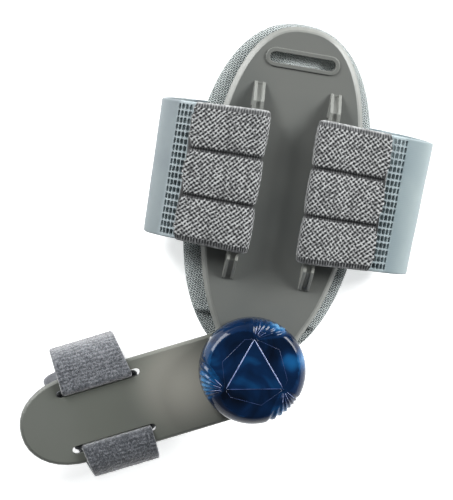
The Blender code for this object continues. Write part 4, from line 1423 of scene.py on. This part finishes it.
@dataclass
class ToeStrap:
    """The brushed loop round the toe, threaded through the arm's two slots."""

    angle: float = 205.7          # degrees from +X to the arm's length
    arm_half: float = 0.0139
    slot_offset: float = 0.0091
    width: float = 0.0218
    thick: float = 0.0018
    upper: float = 0.0089
    lower: float = 0.0053
    lean: float = 0.0062
    skew: float = 0.07
    spread: float = 0.045         # share by which it is wider at the slots
    narrowed: float = 0.035       # and narrower at its outer folds
    gathered: float = 0.18        # and wider where it lies gathered under the arm
    turn: float = 0.0060
    middle: float = 0.0468
    rim: float = 0.0006           # width of its rounded edges
    drift_run: Point = (0.0008, 0.0024)     # start and length of its drift, outside the slot
    slot_reach: float = 0.012     # metres from a slot over which it narrows
    gather: Point = (0.010, 0.002)          # height where it starts to gather, and the rise
    under_fade: float = 0.0008    # metres under the arm over which it gathers fully
    row_wander: float = 0.004     # metres over which the rows of tufts wander
    fine: float = 0.00025         # mesh spacing
    tuft: Point = (0.0004, 0.0003)          # cells of the two noises that make the tufts
    pinch: Point = (0.0028, 0.0021)         # reach of the flattened pile in a slot
    nap: float = 0.00032          # relief of the pile
    row: float = 0.0011           # between two rows of tufts
    fibres: int = 9000
    fibre_half: float = 0.00004   # half width of a fibre's root
    fibre_length: Point = (0.00022, 0.0005)
    finish: BrushedPile = field(default_factory=BrushedPile)

    def loop(self) -> list[Point]:
        """Closed loop across the arm: under it, up through each slot, out and round below.

        Returns:
            Points as distance across the arm and height.
        """
        under = STACK.arm_base - STACK.gap - self.thick / 2
        over = STACK.arm_base + STACK.arm + STACK.gap + self.thick / 2
        slot, floor = self.slot_offset, self.thick / 2
        low = self.arm_half + self.lower - self.thick / 2
        high = -(self.arm_half + self.upper - self.thick / 2)
        tight = self.thick / 2 + STACK.gap
        corners = [(slot, under, tight), (slot, over, tight), (low, over, self.turn * 0.85),
                   (low, floor, self.turn * 1.1), (high, floor, self.turn * 1.1),
                   (high, over, self.turn), (-slot, over, tight), (-slot, under, tight)]
        path = []
        for i, (t, z, radius) in enumerate(corners):
            here = Vector((t, z))
            to_before = (Vector(corners[i - 1][:2]) - here).normalized()
            to_after = (Vector(corners[(i + 1) % len(corners)][:2]) - here).normalized()
            opening = to_before.angle(to_after) / 2
            back = radius / math.tan(opening)
            centre = here + (to_before + to_after).normalized() * (radius / math.sin(opening))
            start, end = here + to_before * back - centre, here + to_after * back - centre
            sweep = start.angle_signed(end)
            for k in range(17):
                a = -sweep * k / 16
                path.append((centre.x + start.x * math.cos(a) - start.y * math.sin(a),
                             centre.y + start.x * math.sin(a) + start.y * math.cos(a)))
        return path

    def drift(self, t: np.ndarray, z: np.ndarray) -> np.ndarray:
        """How far the strap has drifted toward the arm's tip, at places on its loop."""
        reach = self.arm_half + self.upper
        hang = 1 - np.clip(z / STACK.arm_base, 0, 1)
        start, run = self.drift_run
        inward = np.clip((t + self.arm_half + start) / run, 0, 1)
        ease = np.sqrt(1 - (1 - inward) ** 2)
        return -self.skew * t + self.lean * hang * ease * (0.5 - 0.5 * t / reach)

    def settle(self, points: np.ndarray) -> np.ndarray:
        """Turn points from the arm's own axes to their place in the frame.

        Args:
            points: rows of metres along the arm, across it, and up.

        Returns:
            Rows of x, y and z.
        """
        turn = math.radians(self.angle)
        x = points[:, 0] * math.cos(turn) - points[:, 1] * math.sin(turn)
        y = points[:, 0] * math.sin(turn) + points[:, 1] * math.cos(turn) + STACK.pivot_y
        return np.column_stack([x, y, points[:, 2]])

    def build(self) -> list[bpy.types.Object]:
        """Make the loop and its loose fibres.

        Returns:
            The pieces: the loop and its loose fibres.
        """
        path = evened(self.loop(), self.fine, closed=True)
        normal = normals_of(path, closed=True, spread=2)
        if np.mean(np.sum(normal * (path - path.mean(axis=0)), axis=1)) < 0:
            normal = -normal
        run = np.arange(len(path)) * self.fine
        count = int(round(self.width / self.fine))
        along, level = strip_section(self.width / 2, self.rim, count, 18,
                                     np.radians(np.linspace(70, -70, 5)))
        grid_run, grid_along = np.meshgrid(run, along, indexing="ij")
        rows = 0.5 + 0.5 * np.cos(TURN * grid_run / self.row
                                  + 3 * lattice_noise(grid_run, grid_along, self.row_wander, 21))
        tufts = 0.5 * lattice_noise(grid_run, grid_along * 0.7, self.tuft[0], 22) \
            + 0.5 * lattice_noise(grid_run, grid_along * 0.8, self.tuft[1], 23)
        relief = 0.20 * rows + 0.80 * tufts
        t, z = path[:, :1], path[:, 1:]
        calm = 1 - 0.85 * np.exp(-((z - STACK.arm_base - STACK.arm / 2) / self.pinch[1]) ** 4) \
            * np.exp(-((np.abs(t) - self.slot_offset) / self.pinch[0]) ** 4)
        outward = np.clip(level + 0.35, 0, 1)[None, :] * calm
        out = self.thick / 2 * level[None, :] + (relief - 0.5) * self.nap * outward
        away = np.clip((np.abs(t) - self.slot_offset) / self.slot_reach, 0, 1)
        below = np.clip((STACK.arm_base - z) / self.under_fade, 0, 1) \
            * np.clip((z - self.gather[0]) / self.gather[1], 0, 1) \
            * (np.abs(t) < self.slot_offset + self.thick)
        widened = 1 + self.spread * (1 - away) - self.narrowed * away + self.gathered * below
        points = np.stack([self.middle + self.drift(t, z) + along[None, :] * widened,
                           t + normal[:, :1] * out,
                           np.maximum(z + normal[:, 1:] * out, 0.0)], axis=-1)
        placed = self.settle(points.reshape(-1, 3))
        mesh = new_mesh("toe_strap_cloth", placed,
                        ring_faces(*points.shape[:2], close_rows=True))
        put_values(mesh, "relief", relief)
        material = self.finish.build()
        strap = place(mesh.name, mesh, material, Body.ARM, Slot.BRUSHED, ("toe_strap",))
        pile = self.loose_fibres(placed.reshape(points.shape), count, calm.ravel(), material)
        return [strap, pile]

    def loose_fibres(self, grid: np.ndarray, count: int, calm: np.ndarray,
                     material: bpy.types.Material) -> bpy.types.Object:
        """Short fibres that stand out of the pile.

        Args:
            grid: the loop's points by row and column.
            count: number of columns on the outer side.
            calm: for each row, how free its pile is.
            material: the pile's material.

        Returns:
            The piece.
        """
        source = np.random.default_rng(31)
        rows, columns = grid.shape[:2]
        i = source.integers(0, rows, self.fibres)
        j = source.integers(1, count - 1, self.fibres)
        keep = calm[i] > 0.8
        i, j = i[keep], j[keep]
        root = grid[i, j]
        out = unit(np.cross(grid[(i + 1) % rows, j] - root, grid[i, j + 1] - root))
        inside = grid.reshape(-1, 3).mean(axis=0)
        if np.mean(np.sum(out * (root - inside), axis=1)) < 0:
            out = -out
        way = unit(out + source.normal(0, 0.7, (len(i), 3)))
        length = source.uniform(*self.fibre_length, len(i))[:, None]
        side = unit(np.cross(way, source.normal(0, 1, (len(i), 3)))) * self.fibre_half
        tip = root + way * length
        tip[:, 2] = np.maximum(tip[:, 2], self.fibre_half / 2)
        points = np.stack([root + side, root - side, tip], axis=1).reshape(-1, 3)
        faces = [(3 * k, 3 * k + 1, 3 * k + 2) for k in range(len(i))]
        mesh = new_mesh("toe_strap_pile", points, faces)
        put_values(mesh, "relief", np.tile([0.5, 0.5, 1.0], len(i)))
        return place(mesh.name, mesh, material, Body.ARM, Slot.BRUSHED)


@dataclass
class Knob:
    """The adjusting knob: a domed disc with a triangular table, three sloping facets and
    three fans of finger flutes."""

    radius: float = 0.0166
    height: float = 0.0116
    wall: float = 0.0052
    table: float = 0.0112
    triangle: float = 0.0103
    triangle_turn: float = 9.8
    slope: float = 7.0
    flutes: int = 7
    flute_start: float = 0.0009   # from the triangle's corner
    flute_rise: float = 0.0008    # length over which it comes in
    flute_run: float = 0.0070     # length over which a flute grows to its full size
    flute_pitch: float = 12.4     # degrees between two flutes of a fan
    flute_width: float = 0.0012
    flute_depth: float = 0.00055
    bore: float = 0.0029
    bore_depth: float = 0.0060
    foot: float = 0.0007          # height of the rounded lower edge
    columns: int = 720
    ridge_reach: float = 0.0046   # length of a painted highlight line on a crest between two flutes
    ridge_start: float = 0.0006   # from the start of its flutes
    # Degrees and distance from the middle of each point of a facet's outline, where a faint line of painted
    # highlight runs.
    engraved: tuple[Point, ...] = ((2.0, 0.0104), (15.9, 0.0106), (71.6, 0.01045), (118.5, 0.0104))
    line: float = 0.00016         # radius of a line of painted highlight
    resin: MarbledResin = field(default_factory=MarbledResin)
    # Painted highlight: the lines along the knob's edges and crests, in a bright and a dim tone.
    buffed: PolishedEdge = field(default_factory=PolishedEdge)
    dull: PolishedEdge = field(default_factory=lambda: PolishedEdge(
        name="cast acrylic, dull edge", colour="#35466f", shade="#1f2c4c"))

    def centre(self) -> Vector:
        """Middle of the knob's underside."""
        return Vector((0.0, STACK.pivot_y, STACK.knob_base))

    def corner(self, i: int) -> Vector:
        """Corner of the triangle on the table."""
        x, y = self.triangle * heading(math.radians(self.triangle_turn + 120 * i))
        return Vector((x, y, self.height))

    def facet_height(self, x: np.ndarray, y: np.ndarray) -> np.ndarray:
        """Height of the lowest of the table and the three facets at places on the knob."""
        found = np.full(np.shape(x), self.height)
        fall = math.tan(math.radians(self.slope))
        for i in range(3):
            turn = math.radians(self.triangle_turn + 60 + 120 * i)
            away = -x * math.sin(turn) + y * math.cos(turn) - self.triangle / 2
            found = np.minimum(found, self.height - np.maximum(away, 0) * fall)
        return found

    def flute_lines(self) -> list[tuple[np.ndarray, np.ndarray]]:
        """Start and direction of each finger flute, in fans from the triangle's corners."""
        found = []
        for i in range(3):
            turn = math.radians(self.triangle_turn + 120 * i)
            for k in range(self.flutes):
                ahead = heading(turn - math.radians(self.flute_pitch * (k + 0.4)))
                found.append((self.triangle * heading(turn) + ahead * self.flute_start, ahead))
        return found

    def flute_depth_at(self, x: np.ndarray, y: np.ndarray) -> np.ndarray:
        """Depth of the finger flutes at places on the knob, as seen from above.

        Args:
            x: metres from the pivot.
            y: metres from the pivot.

        Returns:
            Depths in metres.
        """
        found = np.zeros(np.shape(x))
        for start, ahead in self.flute_lines():
            away_x, away_y = x - start[0], y - start[1]
            along = away_x * ahead[0] + away_y * ahead[1]
            apart = away_x * ahead[1] - away_y * ahead[0]
            out = np.clip(along / self.flute_run, 0, 1)
            width = self.flute_width * (0.22 + 0.30 * out)
            groove = np.exp(-(apart / width) ** 2) * np.clip(along / self.flute_rise, 0, 1)
            found = np.maximum(found, groove * self.flute_depth * (0.25 + 0.75 * out))
        return found

    def body(self) -> bpy.types.Mesh:
        """Turned disc with its facets and flutes.

        Returns:
            The mesh, with its origin on the pivot.
        """
        first_fluted = 4          # row of the profile, above the rounded foot
        profile = [(self.bore, self.bore_depth), (self.bore, 0.0),
                   (self.radius - self.foot, 0.0), (self.radius - 0.0002, 0.00015), (self.radius, self.foot)]
        profile += [(self.radius, self.foot + (self.wall - self.foot) * s)
                    for s in (0.15, 0.3, 0.45, 0.6, 0.8, 1.0)]
        rise, dome = self.height - self.wall, self.radius - self.table
        for i in range(1, 25):
            a = math.radians(90 * i / 24)
            profile.append((self.table + dome * math.cos(a), self.wall + rise * math.sin(a)))
        profile += [(self.table * (1 - i / 36), self.height) for i in range(1, 36)]
        turns = np.radians(np.linspace(0, 360, self.columns, endpoint=False))
        rows = []
        for i, (r, z) in enumerate(profile):
            before, after = profile[max(i - 1, 0)], profile[min(i + 1, len(profile) - 1)]
            way = Vector((after[0] - before[0], after[1] - before[1])).normalized()
            deep = fade = 0.0
            if i >= first_fluted:
                deep = self.flute_depth_at(-r * np.sin(turns), r * np.cos(turns))
                fade = min(1.0, z / self.wall)
            radius = np.full(self.columns, r) - way.y * deep * fade
            height = np.full(self.columns, z) + way.x * deep * fade
            x, y = -radius * np.sin(turns), radius * np.cos(turns)
            if z > self.wall:
                height = np.minimum(height, self.facet_height(x, y) - deep * 0.5)
            rows.append(np.column_stack([x, y, height]))
        grid = len(rows), self.columns
        return new_mesh("knob_body", np.concatenate(rows), ring_faces(*grid) + end_caps(*grid))

    def outline(self, i: int) -> list[Vector]:
        """Faint line of painted highlight along the outline of one facet, from a corner of the triangle to
        the next.
        """
        fall = math.tan(math.radians(self.slope))
        found = []
        for angle, radius in self.engraved:
            x, y = radius * heading(math.radians(self.triangle_turn + 120 * i + angle))
            away = radius * math.cos(math.radians(angle - 60)) - self.triangle / 2
            found.append(Vector((x, y, self.height - max(away, 0) * fall)))
        return found

    def surface_height(self, x: float, y: float) -> float:
        """Height of the knob's surface between its flutes."""
        out = (math.hypot(x, y) - self.table) / (self.radius - self.table)
        dome = self.wall + (self.height - self.wall) * math.sqrt(max(0.0, 1 - max(out, 0) ** 2))
        return min(dome, float(self.facet_height(np.array(x), np.array(y))))

    def ridges(self, i: int) -> list[list[Vector]]:
        """Lines of painted highlight on the crests between the flutes of one fan."""
        found = []
        lines = self.flute_lines()[i * self.flutes:(i + 1) * self.flutes]
        for k in range(self.flutes - 1):
            start = (lines[k][0] + lines[k + 1][0]) / 2
            ahead = (lines[k][1] + lines[k + 1][1]) / 2
            reach = self.ridge_reach * (0.55, 1.0, 0.7, 0.45)[(k + i) % 4]
            places = [start + ahead * (self.ridge_start + reach * s) for s in np.linspace(0, 1, 7)]
            found.append([Vector((x, y, self.surface_height(x, y))) for x, y in places])
        return found

    def edge_line(self, name: str, path: list[Vector], finish: bpy.types.Material,
                  radius: float) -> bpy.types.Object:
        """Thin line of painted highlight along a path on the knob.

        Args:
            name: the piece's name.
            path: its points, from the pivot's own axes.
            finish: its material.
            radius: half of its width.

        Returns:
            The piece.
        """
        points, sides = [], 6
        for i, here in enumerate(path):
            way = path[min(i + 1, len(path) - 1)] - path[max(i - 1, 0)]
            side = way.cross(Vector((0, 0, 1))).normalized()
            width = radius * (0.25 if i in (0, len(path) - 1) else 1.0)
            for k in range(sides):
                a = TURN * k / sides
                points.append(self.centre() + here + side * width * math.cos(a)
                              + Vector((0, 0, width * 0.55 * math.sin(a))))
        faces = ring_faces(len(path), sides)
        faces += [tuple(reversed(range(sides))),
                  tuple(range((len(path) - 1) * sides, len(path) * sides))]
        mesh = new_mesh(name, np.array(points), faces)
        return place(name, mesh, finish, Body.DIAL, Slot.GLOSS)

    def build(self) -> list[bpy.types.Object]:
        """Make the knob and its thin lines of painted highlight.

        Returns:
            The pieces.
        """
        mesh = self.body()
        mesh.transform(Matrix.Translation(self.centre()))
        body = place("knob_body", mesh, self.resin.build(), Body.DIAL, Slot.GLOSS, ("knob",),
                     sharp=40)
        bright, dim = self.buffed.build(), self.dull.build()
        pieces = [body]
        for i in range(3):
            start, end = self.corner(i), self.corner((i + 1) % 3)
            path = [start.lerp(end, s) for s in np.linspace(0.01, 0.99, 12)]
            low = i == 1
            lines = [(f"knob_edge_{i}", path, dim if low else bright, 0.8 if low else 1.0),
                     (f"knob_outline_{i}", self.outline(i), dim, 0.45)]
            lines += [(f"knob_ridge_{i}_{k}", ridge, dim if (k + i) % 2 else bright, 0.5)
                      for k, ridge in enumerate(self.ridges(i))]
            pieces += [self.edge_line(name, way, finish, self.line * share)
                       for name, way, finish, share in lines]
        return pieces


@dataclass
class PivotScrew:
    """The screw on the pivot: the CAD node, dressed."""

    finish: TurnedSteel = field(default_factory=TurnedSteel)

    def build(self) -> list[bpy.types.Object]:
        """Dress the screw."""
        return [dress_node("pivot_screw", self.finish)]


class Task(Enum):
    """What a light is for."""

    FILL = "lights surfaces, and is not seen in gloss"
    GLINT = "is only seen in gloss"


@dataclass(frozen=True)
class SoftLight:
    """One rectangular soft light."""

    name: str
    place: Spot
    size: Point
    power: float
    colour: str = "#ffffff"
    task: Task = Task.FILL


@dataclass
class Studio:
    """Camera, lights and floor."""

    turns: Spot = (0.035348, 0.09, -0.163499)
    offset: Spot = (-0.0172071, -0.0199090, 1.0)
    height: float = 0.020
    focal_pixels: float = 3202.29
    image_height: int = 500
    sensor: float = 24.0
    low_light: float = 0.50       # of the room near the floor
    high_light: float = 0.10      # of the room overhead
    lights: tuple[SoftLight, ...] = (
        SoftLight("key", (0.50, 0.33, 0.40), (0.34, 0.34), 8.4),
        SoftLight("left", (-0.46, 0.36, 0.38), (0.20, 0.34), 5.4),
        SoftLight("right glint", (0.52, 0.44, 0.20), (0.40, 0.44), 9.0, task=Task.GLINT),
        SoftLight("left glint", (-0.58, 0.30, 0.20), (0.40, 0.44), 8.0, task=Task.GLINT),
    )
    aim: Spot = (0.0, -0.01, 0.015)     # what the lights point at
    room: str = "#f6f8fa"
    floor_reach: float = 1.5
    floor_drop: float = 0.00005   # below what lies on it
    board: PaleBoard = field(default_factory=PaleBoard)

    def add_camera(self) -> None:
        """Put the camera at the photograph's viewing angle."""
        rx, ry, rz = self.turns
        turn = Matrix.Rotation(rz, 3, "Z") @ Matrix.Rotation(ry, 3, "Y") \
            @ Matrix.Rotation(rx, 3, "X")
        back = turn.transposed()
        data = bpy.data.cameras.new("camera")
        data.sensor_fit = "VERTICAL"
        data.sensor_height = self.sensor
        data.lens = self.focal_pixels / self.image_height * self.sensor
        data.clip_start = 0.01
        camera = add_object("camera", data)
        where = back @ Vector(self.offset) + Vector((0, 0, self.height))
        camera.matrix_world = Matrix.Translation(where) @ back.to_4x4()
        bpy.context.scene.camera = camera

    def add_lights(self) -> None:
        """Hang the soft lights, and light the room evenly."""
        for light in self.lights:
            data = bpy.data.lights.new(light.name, "AREA")
            data.shape = "RECTANGLE"
            data.size, data.size_y = light.size
            data.energy = light.power
            data.color = linear(light.colour)[:3]
            lamp = add_object(light.name, data)
            lamp.visible_glossy = light.task is Task.GLINT
            lamp.visible_diffuse = light.task is Task.FILL
            lamp.location = light.place
            way = Vector(self.aim) - Vector(light.place)
            lamp.rotation_euler = way.to_track_quat("-Z", "Y").to_euler()
        world = bpy.data.worlds.new("studio")
        world.use_nodes = True
        tree = world.node_tree
        up = add_node(tree, "SeparateXYZ", (add_node(tree, "TexCoord").outputs["Generated"],))
        strength = add_node(tree, "MapRange", {"Value": up.outputs["Z"], "From Min": 0.1,
                                               "From Max": 0.9, "To Min": self.low_light,
                                               "To Max": self.high_light})
        room = tree.nodes["Background"]
        room.inputs["Color"].default_value = linear(self.room)
        tree.links.new(strength.outputs["Result"], room.inputs["Strength"])
        bpy.context.scene.world = world
        bpy.context.scene.view_settings.view_transform = "Standard"

    def add_floor(self) -> None:
        """Lay the pale floor."""
        reach = self.floor_reach
        mesh = new_mesh("floor", np.array([(-reach, -reach, 0), (reach, -reach, 0),
                                           (reach, reach, 0), (-reach, reach, 0)]), [(0, 1, 2, 3)])
        mesh.materials.append(self.board.build())
        floor = add_object("floor", mesh)
        floor.location.z = -self.floor_drop

    def build(self) -> None:
        """Set up the whole studio."""
        self.add_camera()
        self.add_lights()
        self.add_floor()


def report(made: list[bpy.types.Object]) -> None:
    """Log each piece with its number of triangles.

    Args:
        made: the pieces.
    """
    for piece in made:
        count = sum(len(face.vertices) - 2 for face in piece.data.polygons)
        LOG.info("%s: %d triangles", piece.name, count)


def main() -> None:
    """Build the studio and every sub-assembly, in order."""
    logging.basicConfig(level=logging.INFO, format="%(message)s")
    Studio().build()
    for part in (FootPlate(), FootPad(), FootStrap(), ToeArm(), ToeStrap(), Knob(), PivotScrew()):
        report(part.build())


if __name__ == "__main__":
    main()
